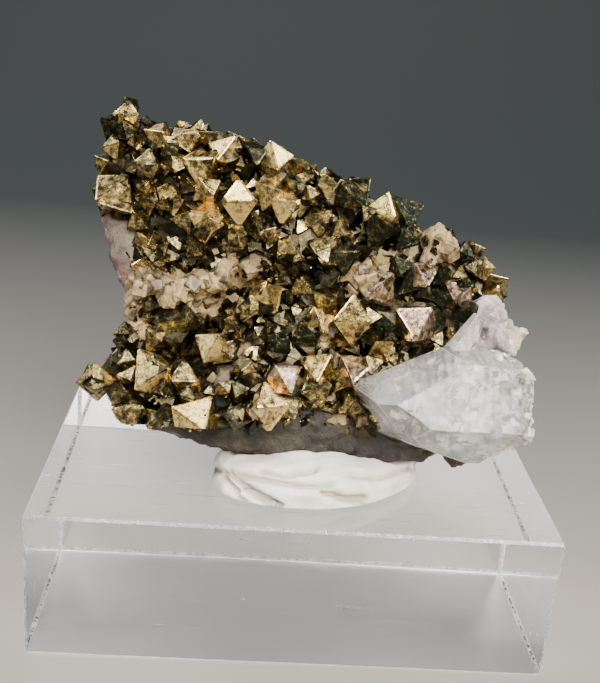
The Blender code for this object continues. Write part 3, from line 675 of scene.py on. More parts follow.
# Colours of the tone, from dark brown to light gold, partly painted light and shade
GOLD_TARNISH_AND_LIGHT = (
    (0.0, (0.021, 0.022, 0.014)), (0.35, (0.080, 0.069, 0.033)),
    (0.7, (0.31, 0.228, 0.090)), (1.0, (0.86, 0.635, 0.24)),
)
MOTTLED_SILVER = (
    (0.40, (0.10, 0.055, 0.035)), (0.49, (0.36, 0.24, 0.18)),
    (0.56, (0.66, 0.54, 0.45)), (0.66, (0.85, 0.78, 0.68)),
)
# Black-green film, darkened as painted shade, with painted glints at its lightest stop
BLACK_GREEN_SHADE_AND_GLINTS = (
    (0.50, (0.008, 0.011, 0.006)), (0.58, (0.030, 0.036, 0.021)), (0.66, (0.24, 0.25, 0.16)),
)
# Painted shade for the depths between crystals
DEPTH_SHADE = (0.03, 0.025, 0.015)


def pyrite_material(name, darker, highlight_lift=0.0):
    material, weave = new_material(name)
    weave.shade(Metallic=1.0)
    cloud = weave.span(weave.noise(1500.0, 7.0, 0.72), 0.40, 0.60, -0.38, 0.31)
    stipple = weave.span(weave.noise(7000.0, 3.0, 0.6), 0.35, 0.65, -0.24, 0.19)
    tone = weave.plus(weave.attribute("tone"), cloud)
    tone = weave.plus(weave.plus(tone, stipple), highlight_lift)
    bare = weave.ramp(weave.noise(2300.0, 6.0, 0.7), MOTTLED_SILVER)
    colour = weave.mix(weave.attribute("silver"), weave.ramp(tone, GOLD_TARNISH_AND_LIGHT), bare)
    worn_film = weave.span(weave.noise(800.0, 4.0), 0.35, 0.55, 0.55, 1.0)
    film = weave.times(weave.attribute("green"), worn_film)
    # Painted shade and painted glints on the black-green film
    black_green_shaded = weave.ramp(weave.noise(3200.0, 5.0, 0.7), BLACK_GREEN_SHADE_AND_GLINTS)
    colour = weave.mix(darker, weave.mix(film, colour, black_green_shaded), DEPTH_SHADE)
    weave.shade(Base_Color=colour)
    dull = weave.span(weave.noise(1400.0, 4.0), 0.3, 0.7, 0.16, 0.42)
    dull = weave.plus(dull, weave.times(film, 0.25))
    weave.shade(Roughness=dull)
    lines = weave.add("ShaderNodeTexWave", Vector=weave.place, Scale=900.0, Distortion=3.0)
    grooves = weave.bump(lines.outputs["Fac"], 0.000006, 0.2)
    grain = weave.bump(weave.noise(4200.0, 3.0), 0.00003, 0.45, grooves)
    weave.shade(Normal=grain)
    return material


pyrite = pyrite_material("pyrite", 0.0)
# Painted shade: the finish made darker for the depths between crystals
dark_pyrite = pyrite_material("dark_pyrite", 0.8)
# Painted highlight: the finish made lighter for the bevelled edges
worn_pyrite = pyrite_material("worn_pyrite", 0.0, 0.5)
print("pyrite finishes", pyrite.name, dark_pyrite.name, worn_pyrite.name)

# %% [markdown]
# One crystal is a ball of four segments and two rings, which is an octahedron. Its corners are
# moved a little so that no two are alike, cut where the real one is cut, and its edges get a
# narrow bevel that catches the light and carries a painted highlight. Each large face also
# carries a thin raised layer with its own rim, as growth leaves them.

# %% One octahedron
def cut_corner(bm, point, direction):
    """Slice off what lies beyond a plane and close the cut."""
    parts = bm.verts[:] + bm.edges[:] + bm.faces[:]
    cut = bmesh.ops.bisect_plane(
        bm, geom=parts, plane_co=point, plane_no=direction, clear_outer=True
    )
    rim = [part for part in cut["geom_cut"] if isinstance(part, bmesh.types.BMEdge)]
    if rim:
        bmesh.ops.edgeloop_fill(bm, edges=rim)


def octahedron(edge, cut, dice, layered=True):
    """A crystal with one face up, in millimetres, that face's middle at the origin."""
    bm = bmesh.new()
    reach = edge / math.sqrt(2.0)
    bmesh.ops.create_uvsphere(bm, u_segments=4, v_segments=2, radius=reach)
    for vert in bm.verts:
        vert.co *= dice.uniform(0.95, 1.05)
    for axis in range(3):
        for side in (1.0, -1.0):
            direction = Vector([side if k == axis else 0.0 for k in range(3)])
            share = cut if cut else dice.uniform(0.0, 0.07)
            cut_corner(bm, direction * reach * (1.0 - share), direction)
    if layered:
        wide = [face for face in bm.faces if face.calc_area() > 0.2 * edge * edge]
        border = dice.uniform(0.04, 0.10) * edge
        bmesh.ops.inset_individual(bm, faces=wide, thickness=border, depth=0.0)
        step = dice.choice((-1.0, 1.0)) * 0.012 * edge
        for face in wide:
            bmesh.ops.translate(bm, vec=face.normal * step, verts=face.verts)
    out = Vector((1.0, 1.0, 1.0)).normalized()
    up = Vector((-1.0, -1.0, 2.0)).normalized()
    face_up = Matrix((up.cross(out), up, out)).to_4x4()
    sink = Matrix.Translation((0.0, 0.0, -edge / math.sqrt(6.0)))
    bmesh.ops.transform(bm, matrix=sink @ face_up, verts=bm.verts)
    return bm


def tipped(turn, tip, toward):
    """Rotation of a face by its turn and the tip of its normal."""
    lean = math.radians(toward)
    axis = Vector((-math.sin(lean), math.cos(lean), 0.0))
    turned = Matrix.Rotation(math.radians(turn), 4, "Z")
    return Matrix.Rotation(math.radians(tip), 4, axis) @ turned


sample = octahedron(3.0, 0.0, random.Random(1))
print("one crystal has", len(sample.faces), "faces")
sample.free()

# %% [markdown]
# The large crystals are set on the frame's crust. A ray sent at the face from in front finds
# how far out each one stands, so the crystals land on their solids, a touch larger and further
# out than those. The rock broke along the lower rim, so a plane cuts off what would hang below.
# A bevel modifier cuts a narrow face along all the sharp edges at once and gives them the finish
# with a painted highlight.

# %% Large crystals
TINTS = ("tone", "green", "silver")
LOWER_RIM = 1.7
DOWN_THE_FACE = Vector((0.0, -1.0, 0.0))
LARGER, FURTHER_OUT = 1.03, 0.12
# The bevel carries the painted highlight along the edges
HIGHLIGHT_BEVEL, SHARP_ANGLE = 0.055 * MM, 25.0


def surface_level(x, y):
    """How far out the crust or the rock stands at a place on the face."""
    start = to_world @ Vector((x, y, 30.0))
    hits = [tree.ray_cast(start, -OUTWARD)[0] for tree in (crust_tree, rock_tree)]
    levels = [(to_face @ hit).z for hit in hits if hit]
    return max(levels) if levels else None


def tint_of(letter, dice):
    """Tone, green and silver of one crystal."""
    tone, green = TARNISH_AND_LIGHT_TONES[letter]
    spread = dice.uniform(-0.14, 0.14)
    return (tone + spread, max(0.0, green + spread), 0.8 if letter == "S" else 0.0)


def pour(source, target, tints):
    """Copy a bmesh into another, with its tint values on every vertex."""
    layers = [target.verts.layers.float.get(name) for name in TINTS]
    copies = {}
    for vert in source.verts:
        copies[vert] = target.verts.new(vert.co)
        for layer, value in zip(layers, tints):
            copies[vert][layer] = value
    for face in source.faces:
        target.faces.new([copies[vert] for vert in face.verts])
    source.free()


def large_crystals():
    dice = random.Random(21)
    druse = bmesh.new()
    for name in TINTS:
        druse.verts.layers.float.new(name)
    for x, y, edge, turn, tip, toward, cut, letter in CRYSTALS:
        level = surface_level(x, y)
        if level is None:
            continue
        one = octahedron(edge * LARGER, cut, dice)
        place = Matrix.Translation((x, y, level + FURTHER_OUT)) @ tipped(turn, tip, toward)
        bmesh.ops.transform(one, matrix=place, verts=one.verts)
        cut_corner(one, Vector((0.0, LOWER_RIM, 0.0)), DOWN_THE_FACE)
        bmesh.ops.transform(one, matrix=to_world, verts=one.verts)
        pour(one, druse, tint_of(letter, dice))
    piece = add_piece("pyrite_crystals", druse, pyrite)
    piece.data.materials.append(worn_pyrite)
    bevel = piece.modifiers.new("worn_edges", "BEVEL")
    bevel.width = HIGHLIGHT_BEVEL
    bevel.segments = 1
    # The bevel faces take the finish with the painted highlight
    bevel.material = 1
    bevel.limit_method = "ANGLE"
    bevel.angle_limit = math.radians(SHARP_ANGLE)
    return apply_modifiers(piece)


crystals = large_crystals()
finish_piece(crystals, None)

# %% [markdown]
# The crust's own solid, drawn in slightly and darkened with painted shade, fills the depths
# between the crystals.
# Each of its points also stores how much room there is for small crystals: none under a listed
# crystal or near the rim, and more with the distance.

# %% Dark crust under the crystals
CRUST_SINK, CRUST_EDGE = 0.10, 1.2 * MM
ROOM_FROM, ROOM_BLEND = 0.45, 0.2
RIM_TOP, RIM_BLEND = 2.4, 1.2
CORE_TONE = 0.2


def crust_core():
    bm = frame_solids["pyrite_crust"].copy()
    for name in TINTS:
        bm.verts.layers.float.new(name)
    room = bm.verts.layers.float.new("room")
    tone = bm.verts.layers.float.get("tone")
    rim = to_world @ Vector((0.0, LOWER_RIM, 0.0))
    cut_corner(bm, rim, to_world.to_3x3() @ DOWN_THE_FACE)
    long_edges = [e for e in bm.edges if e.calc_length() > CRUST_EDGE]
    bmesh.ops.subdivide_edges(bm, edges=long_edges, cuts=1, use_grid_fill=False)
    bmesh.ops.triangulate(bm, faces=bm.faces)
    x, y, edge = np.array([crystal[:3] for crystal in CRYSTALS]).T
    bm.normal_update()
    for vert in bm.verts:
        local = to_face @ vert.co
        near = np.min(np.hypot(x - local.x, y - local.y) / edge)
        free = rising(near, ROOM_FROM, ROOM_BLEND)
        vert[room] = free * rising(local.y, RIM_TOP, RIM_BLEND)
        vert[tone] = CORE_TONE
    for vert in bm.verts:
        vert.co -= vert.normal * CRUST_SINK * MM
    return add_piece("pyrite_core", bm, dark_pyrite)


core = crust_core()
finish_piece(core, "pyrite_crust")

# %% [markdown]
# Between the large crystals grow hundreds of small ones. That is a scatter, and Geometry Nodes
# are made for it. Points are spread over a ground, as densely as its room allows. A crystal is
# placed on each with a random lean, turn, size and tone, and the copies are made real, because
# the export drops instances. The inputs are named, so one tree serves every scatter below.

# %% A Geometry Nodes tree for the scatter
SCATTER_INPUTS = (
    ("Density", 5.0e5), ("Smallest", 0.4), ("Largest", 1.0), ("Lean", 0.6),
    ("Dullest", 0.0), ("Brightest", 0.6),
)


def random_between(knit, low, high, **more):
    """A random number for each crystal."""
    node = knit.add("FunctionNodeRandomValue", **more)
    knit.feed(low, node.inputs[2])
    knit.feed(high, node.inputs[3])
    return node.outputs[1]


def random_turn(knit, lean, seed):
    """A full turn about the normal and a lean to each side, as a rotation."""
    back = knit.times(lean, -1.0)
    least = knit.add("ShaderNodeCombineXYZ", X=back, Y=back).outputs[0]
    most = knit.add("ShaderNodeCombineXYZ", X=lean, Y=lean, Z=math.tau).outputs[0]
    angles = knit.add(
        "FunctionNodeRandomValue", data_type="FLOAT_VECTOR", Min=least, Max=most, Seed=seed
    )
    euler = angles.outputs["Value"]
    return knit.add("FunctionNodeEulerToRotation", Euler=euler).outputs["Rotation"]


def scatter_tree(material):
    """One small crystal on each of the points that are spread where there is room."""
    tree = bpy.data.node_groups.new("small_crystals", "GeometryNodeTree")
    socket = tree.interface.new_socket
    socket("Geometry", in_out="INPUT", socket_type="NodeSocketGeometry")
    for name, value in SCATTER_INPUTS:
        socket(name, in_out="INPUT", socket_type="NodeSocketFloat").default_value = value
    socket("Seed", in_out="INPUT", socket_type="NodeSocketInt")
    socket("Crystal", in_out="INPUT", socket_type="NodeSocketObject")
    socket("Geometry", in_out="OUTPUT", socket_type="NodeSocketGeometry")
    knit = Knit(tree)
    given = knit.add("NodeGroupInput").outputs
    seed = given["Seed"]
    room = knit.add("GeometryNodeInputNamedAttribute", data_type="FLOAT", Name="room")
    density = knit.times(given["Density"], room.outputs["Attribute"])
    points = knit.add(
        "GeometryNodeDistributePointsOnFaces", Mesh=given["Geometry"], Density=density, Seed=seed
    ).outputs
    turn = {"Rotate By": random_turn(knit, given["Lean"], seed)}
    leaning = knit.add(
        "FunctionNodeRotateRotation", rotation_space="LOCAL", Rotation=points["Rotation"], **turn
    )
    crystal = knit.add("GeometryNodeObjectInfo", Object=given["Crystal"])
    copies = knit.add(
        "GeometryNodeInstanceOnPoints",
        Points=points["Points"],
        Instance=crystal.outputs["Geometry"],
        Rotation=leaning.outputs["Rotation"],
        Scale=random_between(knit, given["Smallest"], given["Largest"], Seed=seed),
    )
    toned = knit.add(
        "GeometryNodeStoreNamedAttribute",
        data_type="FLOAT",
        domain="INSTANCE",
        Geometry=copies.outputs["Instances"],
        Name="tone",
        Value=random_between(knit, given["Dullest"], given["Brightest"]),
    )
    real = knit.add("GeometryNodeRealizeInstances", Geometry=toned.outputs["Geometry"])
    paint = knit.add(
        "GeometryNodeSetMaterial", Geometry=real.outputs["Geometry"], Material=material
    )
    knit.add("NodeGroupOutput", Geometry=paint.outputs["Geometry"])
    return tree


def scatter(name, ground, tree, values):
    """Run the tree on a ground piece and keep the result as a plain mesh."""
    host = add_object(name, ground.data.copy())
    modifier = host.modifiers.new("scatter", "NODES")
    modifier.node_group = tree
    for item in tree.interface.items_tree:
        if item.in_out == "INPUT" and item.name in values:
            modifier[item.identifier] = values[item.name]
    return apply_modifiers(host)


pyrite_scatter = scatter_tree(pyrite)
print("scatter tree", pyrite_scatter.name, "with", len(pyrite_scatter.nodes), "nodes")

# %% [markdown]
# Two scatters fill the crust: many small crystals, and fewer of a middle size. Both repeat one
# plain octahedron, because crystals this small show only their flashes.

# %% Small and middle crystals
def small_seed():
    """The one small crystal that is repeated, a plain octahedron a millimetre along its edge."""
    bm = octahedron(1.0, 0.08, random.Random(3), layered=False)
    bmesh.ops.translate(bm, vec=(0.0, 0.0, 0.2), verts=bm.verts)
    bmesh.ops.scale(bm, vec=(MM, MM, MM), verts=bm.verts)
    return add_piece("seed_crystal", bm, pyrite)


SMALL = {"Density": 0.8e6, "Smallest": 0.3, "Largest": 1.0, "Lean": 1.3, "Seed": 4}
MIDDLE = {"Density": 0.28e6, "Smallest": 1.2, "Largest": 2.1, "Lean": 0.55, "Seed": 8}
seed_crystal = small_seed()
for name, values in (
    ("small_crystals", {**SMALL, "Brightest": 0.55}),
    ("middle_crystals", {**MIDDLE, "Dullest": 0.1, "Brightest": 0.65}),
):
    values["Crystal"] = seed_crystal
    finish_piece(scatter(name, core, pyrite_scatter, values), None)

# %% [markdown]
# In the hollows of the druse stand tan and cream grains, small blunt blocks that let a little
# light in. They repeat like the small crystals, so the same kind of tree sets them. Their
# ground is a copy of a frame solid, finely divided and sunk by about half a grain, whose room
# is one only where a test says that grains belong.

# %% Grains and their grounds
GRAIN_SINK = 0.42 * MM
GROUND_EDGE = 1.2 * MM


def grain_material(name, dark, light):
    material, weave = new_material(name)
    shade = weave.span(weave.noise(1100.0, 6.0, 0.65), 0.36, 0.64, -0.4, 0.4)
    tone = weave.plus(weave.attribute("tone"), shade)
    weave.shade(
        Base_Color=weave.ramp(tone, ((0.0, dark), (0.9, light))),
        Subsurface_Weight=0.2,
        Subsurface_Radius=(0.0008, 0.0007, 0.0005),
        Roughness=weave.span(weave.noise(1800.0), 0.3, 0.7, 0.32, 0.6),
        Normal=weave.bump(weave.noise(2600.0, 5.0), 0.00006, 0.6),
    )
    return material


def bare_ground(bm, longest, bare):
    """A finely divided ground whose room is one where the test says that it is bare."""
    for _ in range(2):
        long_edges = [e for e in bm.edges if e.calc_length() > longest]
        bmesh.ops.subdivide_edges(bm, edges=long_edges, cuts=2)
        bmesh.ops.triangulate(bm, faces=bm.faces)
    bm.normal_update()
    room = bm.verts.layers.float.new("room")
    for vert in bm.verts:
        vert[room] = 1.0 if bare(vert.co, vert.normal) else 0.0
    for vert in bm.verts:
        vert.co -= vert.normal * GRAIN_SINK
    return add_piece("ground", bm, dark_pyrite)


def grow(name, ground, tree, values):
    """Scatter over a ground, finish the result and clear the ground away."""
    finish_piece(scatter(name, ground, tree, values), None)
    bpy.data.objects.remove(ground, do_unlink=True)


def blunt_block(jitter):
    """One grain, a millimetre across: a block with moved corners and cut edges."""
    dice = random.Random(5)
    bm = bmesh.new()
    bmesh.ops.create_cube(bm, size=1.0 * MM)
    for vert in bm.verts:
        vert.co *= dice.uniform(1.0 - jitter, 1.0 + jitter)
    bmesh.ops.bevel(bm, geom=bm.edges[:], offset=0.12 * MM, segments=1, affect="EDGES")
    return add_piece("blunt_block", bm, dark_pyrite)


tan_grain = grain_material("tan_grain", (0.035, 0.022, 0.008), (0.38, 0.27, 0.12))
block_grain = blunt_block(0.28)
print("one grain has", len(block_grain.data.polygons), "faces")

# %% Where the rock is bare
# Pale places on the face: middle, then half width and half height, in millimetres
PALE_PATCHES = (
    (-13.4, 15.2, 4.2, 3.0), (-15.8, 13.2, 2.1, 3.3), (-9.6, 16.7, 1.6, 1.2),
    (-7.7, 18.6, 1.5, 0.9), (4.7, 17.0, 1.3, 1.4), (6.8, 18.2, 0.8, 1.1),
    (12.9, 20.5, 1.3, 1.6), (0.9, 11.5, 2.2, 0.8), (-8.2, 6.7, 0.7, 1.0),
    (-5.0, 3.9, 0.8, 0.8), (14.8, 19.0, 0.8, 0.8), (-6.2, 3.4, 1.2, 0.5),
    (4.6, 3.5, 1.8, 0.4),
)
CLEAR_BY = 0.05


def in_front(place, normal, least=0.2):
    """True on a face that looks forwards with no crust before it."""
    start = place + OUTWARD * CLEAR_BY * MM
    return normal.dot(OUTWARD) > least and crust_tree.ray_cast(start, OUTWARD)[0] is None


def pale(place):
    """True inside one of the pale patches."""
    local = to_face @ place
    return any(
        ((local.x - x) / wide) ** 2 + ((local.y - y) / high) ** 2 < 1.0
        for x, y, wide, high in PALE_PATCHES
    )


def bare_rock(place, normal):
    return in_front(place, normal) and pale(place)


def pale_plate(place, normal):
    """True on the grey and white plate beside the quartz."""
    local = to_face @ place
    return local.x > 17.2 and 8.5 < local.y < 17.5 and in_front(place, normal)


def grown_over(place, normal):
    """True on rock between the banks that dark crystals have grown over."""
    local = to_face @ place
    inside = local.y > RIM_TOP and -18.0 < local.x < 15.0
    return inside and in_front(place, normal) and not pale(place)


print(len(PALE_PATCHES), "pale patches")

# %% Pale grains
GRAINS = {
    "Density": 2.0e6, "Smallest": 0.4, "Largest": 1.3, "Lean": 3.0,
    "Dullest": 0.0, "Brightest": 0.9, "Crystal": block_grain,
}
tan_scatter = scatter_tree(tan_grain)
for name, node, seed in (("rock_grains", "matrix", 9), ("crust_grains", "pyrite_crust", 10)):
    ground = bare_ground(frame_solids[node].copy(), GROUND_EDGE, bare_rock)
    grow(name, ground, tan_scatter, {**GRAINS, "Seed": seed})

# %% [markdown]
# Two more uses of the same tree finish the druse. Dark crystals grow over the rock between the
# banks, and a fine sparkling fringe runs along the lower rim, where crust and rock were broken.

# %% Dark crystals over the rock and a fringe along the rim
# The fringe follows the rim, which rises from the left and falls again beside the quartz
RIM_LEFT, RIM_RISE, RISE_FROM, RISE_WIDTH = 1.5, 1.2, -9.5, 6.5
RIM_FALL, FALL_FROM = 0.55, 9.5
HIGH_BAND, LOW_BAND = 1.8, 0.8


def at_rim(place, normal):
    """True along the broken lower rim of the druse."""
    local = to_face @ place
    low = RIM_LEFT + RIM_RISE * rising(local.x, RISE_FROM, RISE_WIDTH)
    low -= RIM_FALL * max(0.0, local.x - FALL_FROM)
    high = low + (HIGH_BAND if local.x < FALL_FROM else LOW_BAND)
    return low < local.y < high and -20.0 < local.x < 14.0 and in_front(place, normal, -0.3)


OVER_ROCK = {
    "Density": 1.4e6, "Smallest": 0.4, "Largest": 1.5, "Lean": 0.8, "Seed": 15,
    "Brightest": 0.5, "Crystal": seed_crystal,
}
FRINGE = {
    "Density": 3.4e6, "Smallest": 0.25, "Largest": 1.05, "Lean": 1.4, "Seed": 16,
    "Dullest": 0.0, "Brightest": 0.85, "Crystal": seed_crystal,
}
for name, node, test, values in (
    ("rock_crystals", "matrix", grown_over, OVER_ROCK),
    ("rim_crystals", "matrix", at_rim, FRINGE),
    ("fringe_crystals", "pyrite_crust", at_rim, FRINGE),
):
    ground = bare_ground(frame_solids[node].copy(), GROUND_EDGE, test)
    grow(name, ground, pyrite_scatter, values)
bpy.data.objects.remove(seed_crystal, do_unlink=True)

# %% [markdown]
# The quartz point is clear near its tip and milky elsewhere, so its finish is plain clear quartz
# whose surface grows duller where a cloud of noise is thick. Its edges are chipped all along,
# and frosted by that, so they have a finish of their own.

# %% Quartz finish
QUARTZ_IOR = 1.544
MILKY = ((0.30, (0.84, 0.82, 0.78)), (0.45, (0.97, 0.955, 0.92)), (0.60, (1.0, 0.99, 0.955)))


def quartz_material():
    material, weave = new_material("quartz")
    weave.shade(Transmission_Weight=0.94, IOR=QUARTZ_IOR)
    from_tip = weave.span(weave.parts(weave.place)["X"], 0.0105, 0.0165, -0.16, 0.15)
    cloud = weave.plus(from_tip, weave.noise(260.0, 6.0, 0.65, 0.9))
    weave.shade(
        Base_Color=weave.ramp(cloud, MILKY),
        Roughness=weave.span(cloud, 0.49, 0.56, 0.01, 0.26),
    )
    chips = weave.bump(weave.noise(700.0, 7.0, 0.62), 0.00016, 0.6)
    lines = weave.add("ShaderNodeTexWave", Vector=weave.place, Scale=420.0, Distortion=1.5)
    weave.shade(Normal=weave.bump(lines.outputs["Fac"], 0.00003, 0.4, chips))
    return material


def frosted_edge():
    material, weave = new_material("frosted_edge")
    weave.shade(
        Base_Color=(0.96, 0.94, 0.90, 1.0),
        Transmission_Weight=0.8,
        Roughness=0.3,
        IOR=QUARTZ_IOR,
    )
    return material


clear_quartz, frosted = quartz_material(), frosted_edge()
print("quartz finishes", clear_quartz.name, frosted.name)

# %% [markdown]
# A copy of the frame's point gets a narrow bevel on every edge, and then faces small enough to
# be shaped point by point. The prism faces stay almost flat, the broken end at the right is
# eaten away in small hollows, and the tip is drawn out a little, as the real one is.

# %% Quartz point
EDGE_ANGLE, EDGE_WIDTH, QUARTZ_EDGE = 0.3, 0.04 * MM, 0.7 * MM
BROKEN_FROM, BROKEN_BLEND = 16.0 * MM, 4.0 * MM
HOLLOW_SIZE, ROUGH_SIZE = 1.6 * MM, 1.0 * MM
TIP_FROM, TIP_LENGTH = 10.0 * MM, 5.0 * MM
TIP_SHIFT = Vector((-1.0, 0.0, -0.5)) * MM


def quartz_point():
    bm = solid_copy("quartz_crystals")
    sharp = [e for e in bm.edges if e.calc_face_angle(0.0) > EDGE_ANGLE]
    bmesh.ops.bevel(bm, geom=sharp, offset=EDGE_WIDTH, segments=1, affect="EDGES", material=1)
    for _ in range(4):
        long_edges = [e for e in bm.edges if e.calc_length() > QUARTZ_EDGE]
        bmesh.ops.subdivide_edges(bm, edges=long_edges, cuts=1)
        bmesh.ops.triangulate(bm, faces=bm.faces)
    bm.normal_update()
    moves = []
    for vert in bm.verts:
        broken = rising(vert.co.x, BROKEN_FROM, BROKEN_BLEND)
        cell = noise.voronoi(vert.co / HOLLOW_SIZE)[0][0]
        rough = noise.fractal(vert.co / ROUGH_SIZE, 0.7, 2.0, 3)
        rise = 0.012 * rough - broken * (0.75 * cell - 0.05 - 0.1 * rough)
        moves.append(vert.normal * MM * rise)
    for vert, move in zip(bm.verts, moves):
        vert.co += move
        vert.co += TIP_SHIFT * max(0.0, (TIP_FROM - vert.co.x) / TIP_LENGTH)
    piece = add_piece("quartz_point", bm, clear_quartz)
    piece.data.materials.append(frosted)
    return piece


finish_piece(quartz_point(), "quartz_crystals")

# %% [markdown]
# Old cracks that healed inside the quartz show as white veils. They are thin flakes set inside
# the clear shell, few near the tip and many towards the broken end.

# %% Veils inside the quartz
VEIL_WHITE = ((0.35, (0.80, 0.78, 0.75)), (0.6, (1.0, 0.99, 0.97)))
UNDER_SURFACE, RIM_GAP = 0.6 * MM, 0.15 * MM
FLAKE_POINTS, FLAKE_STEP, FLAKE_WIDTH = 9, 0.698, 0.45


def veil_material():
    material, weave = new_material("quartz_veil")
    weave.shade(Base_Color=weave.ramp(weave.noise(1500.0, 5.0), VEIL_WHITE), Roughness=0.3)
    return material


def add_flake(bm, spot, radius, dice):
    """A ragged and slightly bent flake, as a fan of triangles around its hub."""
    lean = (dice.uniform(-0.5, 0.5) + 1.2, dice.gauss(0.4, 0.3), dice.uniform(0.0, math.tau))
    turn = Euler(lean).to_matrix()
    rim = []
    for k in range(FLAKE_POINTS):
        out = radius * dice.uniform(0.3, 1.0)
        x, y = out * math.cos(k * FLAKE_STEP), FLAKE_WIDTH * out * math.sin(k * FLAKE_STEP)
        rim.append(bm.verts.new(spot + turn @ Vector((x, y, dice.gauss(0.0, 0.05) * radius))))
    hub = bm.verts.new(spot)
    for first, second in zip(rim, rim[1:] + rim[:1]):
        bm.faces.new((hub, first, second))


def quartz_veils(count):
    """Small bent flakes at places inside the quartz solid."""
    dice = random.Random(31)
    solid = solid_copy("quartz_crystals")
    tree = BVHTree.FromBMesh(solid)
    solid.free()
    low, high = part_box("quartz_crystals")
    bm = bmesh.new()
    made = 0
    while made < count:
        spot = Vector([dice.uniform(a, b) for a, b in zip(low, high)])
        reach = (spot.x - low[0]) / (high[0] - low[0])
        if dice.random() > 0.015 + reach ** 2.0:
            continue
        hit, normal, _, distance = tree.find_nearest(spot)
        if (spot - hit).dot(normal) > -UNDER_SURFACE:
            continue
        add_flake(bm, spot, min(dice.uniform(0.25, 1.1) * MM, distance - RIM_GAP), dice)
        made += 1
    return add_piece("quartz_veils", bm, veil_material(), smooth=True)


finish_piece(quartz_veils(420), None)

# %% [markdown]
# The far end of the quartz is broken and white, and the plate beside it carries the same white
# chips. They are grains once more, in a paler finish and set closer to the ground.

# %% Broken white end of the quartz and the plate beside it
END_FROM = 19.0 * MM
CHIP_EDGE = 1.0 * MM


def broken_end(place, normal):
    """True on the broken end, and on the plate that meets it."""
    return (place.x > END_FROM and normal.x > 0.2) or pale_plate(place, normal)


CHIPS = {
    "Density": 0.9e6, "Smallest": 0.25, "Largest": 0.85, "Lean": 3.0,
    "Dullest": 0.0, "Brightest": 0.85, "Crystal": block_grain,
}
white_grain = grain_material("white_grain", (0.22, 0.18, 0.14), (0.74, 0.69, 0.57))
white_scatter = scatter_tree(white_grain)
for name, node, test, seed in (
    ("quartz_chips", "quartz_crystals", broken_end, 12),
    ("plate_chips", "matrix", pale_plate, 13),
):
    ground = bare_ground(solid_copy(node), CHIP_EDGE, test)
    grow(name, ground, white_scatter, {**CHIPS, "Seed": seed})
bpy.data.objects.remove(block_grain, do_unlink=True)

# %% [markdown]
# The putty was rolled into a soft rope, folded over itself and pressed flat under the rock. Each
# fold is a line on a flat picture, with the depth and the half width of its groove. In front
# that picture is the camera's, because there the folds are known by how they look, and at the
# back it is the plan of the block.

# %% Folds of the putty
# Points across and down the picture, then depth and half width in millimetres
POINTS_PER_MM = 10.5
FRONT_FOLDS = (
    (((212, 470), (262, 478), (300, 486), (330, 484)), 0.75, 0.4),
    (((244, 487), (262, 499), (279, 508)), 1.3, 0.42),
    (((220, 474), (236, 492)), 0.85, 0.32),
    (((229, 472), (250, 491)), 1.0, 0.34),
    (((238, 499), (250, 506)), 0.5, 0.3),
    (((262, 470), (285, 475), (314, 468)), 0.8, 0.35),
    (((325, 491), (345, 500), (364, 501)), 1.1, 0.42),
    (((352, 474), (380, 478), (412, 468)), 0.55, 0.4),
)
# Places on the block in millimetres, then the same two measures
BACK_FOLDS = ((((-3.0, 0.5), (8.0, -2.0)), 0.5, 0.6), (((2.0, 2.6), (10.0, -1.0)), 0.5, 0.6))


def fold_depth(flat, folds, scale):
    """How deep the folds cut at each point of a flat picture."""
    depth = np.zeros(len(flat))
    for corners, deep, half in folds:
        aside = np.full(len(flat), 1e9)
        for start, end in zip(corners, corners[1:]):
            a, b = np.array(start, float), np.array(end, float)
            along = np.clip(((flat - a) @ (b - a)) / ((b - a) @ (b - a)), 0.0, 1.0)
            nearest = a + along[:, None] * (b - a)
            aside = np.minimum(aside, np.linalg.norm(flat - nearest, axis=1))
        depth = np.maximum(depth, deep * np.exp(-(aside / (half * scale)) ** 2))
    return depth


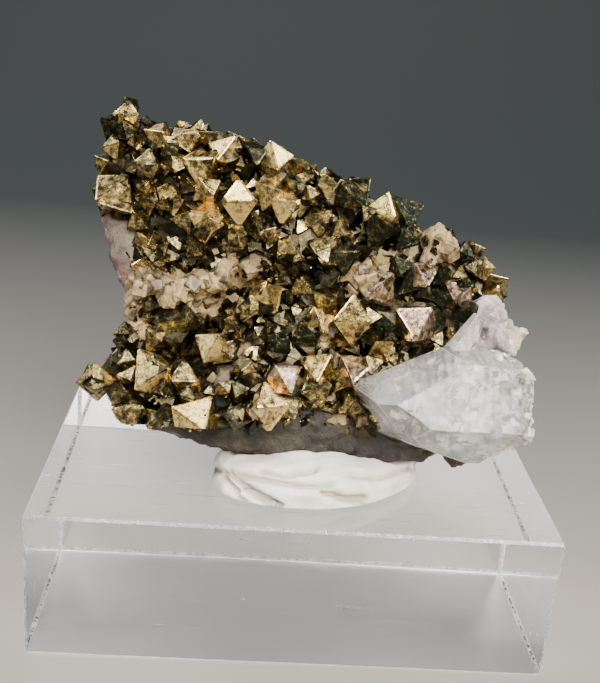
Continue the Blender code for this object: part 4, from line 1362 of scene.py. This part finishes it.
def seen_by_camera(place):
    """Points of the picture, across and down, at which the camera sees each place."""
    right, up, back = (np.array(axis) for axis in camera_turn(PITCH, YAW, ROLL).transposed())
    ray = place - np.array(CAMERA_AT)
    ahead = -(ray @ back)
    across = IMAGE_WIDTH / 2 + FOCAL_PIXELS * (ray @ right) / ahead
    down = IMAGE_HEIGHT / 2 - FOCAL_PIXELS * (ray @ up) / ahead
    return np.stack((across, down), axis=1)


print(len(FRONT_FOLDS), "folds in front and", len(BACK_FOLDS), "behind")

# %% [markdown]
# The copy of the putty's solid is given fine even faces, waved by noise, and then grooved along
# the folds. Each point keeps the depth of its fold, and the finish paints shade into the creases
# by that depth.

# %% Mounting putty
PUTTY_WHITE = ((0.35, (0.70, 0.65, 0.55)), (0.65, (0.86, 0.825, 0.745)))
# Painted shade in the creases of the folds
CREASE_SHADE = (0.40, 0.34, 0.27)
PUTTY_GRID = 0.16 * MM
PRESSED_BELOW = 15.4 * MM


def putty_material():
    material, weave = new_material("white_putty")
    tint = weave.ramp(weave.noise(260.0, 4.0), PUTTY_WHITE)
    # Painted shade, stronger where the fold is deeper
    crease_shade = weave.span(weave.attribute("fold"), 0.15, 0.6, 0.0, 0.75)
    weave.shade(
        Base_Color=weave.mix(crease_shade, tint, CREASE_SHADE),
        Roughness=0.5,
        Subsurface_Weight=0.05,
        Subsurface_Radius=(0.0015, 0.0012, 0.0009),
        Normal=weave.bump(weave.noise(1500.0, 5.0), 0.00005, 0.5),
    )
    return material


def mounting_putty():
    solid = solid_copy("mounting_putty")
    piece = add_piece("putty_folds", solid, putty_material(), smooth=True)
    remeshed(piece, PUTTY_GRID)
    place, normal = points_of(piece.data)
    seen = seen_by_camera(place)
    front = fold_depth(seen, FRONT_FOLDS, POINTS_PER_MM) * (normal[:, 1] < 0.3)
    behind = fold_depth(place[:, :2] / MM, BACK_FOLDS, 1.0)
    folds = np.maximum(front, behind)
    shift = fractal(place, 2.2 * MM) * 0.16 + 0.05 - folds
    shift[place[:, 2] < PRESSED_BELOW] = 0.0
    set_points(piece.data, place + normal * (shift * MM)[:, None])
    depth = piece.data.attributes.new("fold", "FLOAT", "POINT")
    depth.data.foreach_set("value", folds.astype(np.float32))
    finish_piece(piece, "mounting_putty")


mounting_putty()

# %% Free the copied solids
for bm in frame_solids.values():
    bm.free()
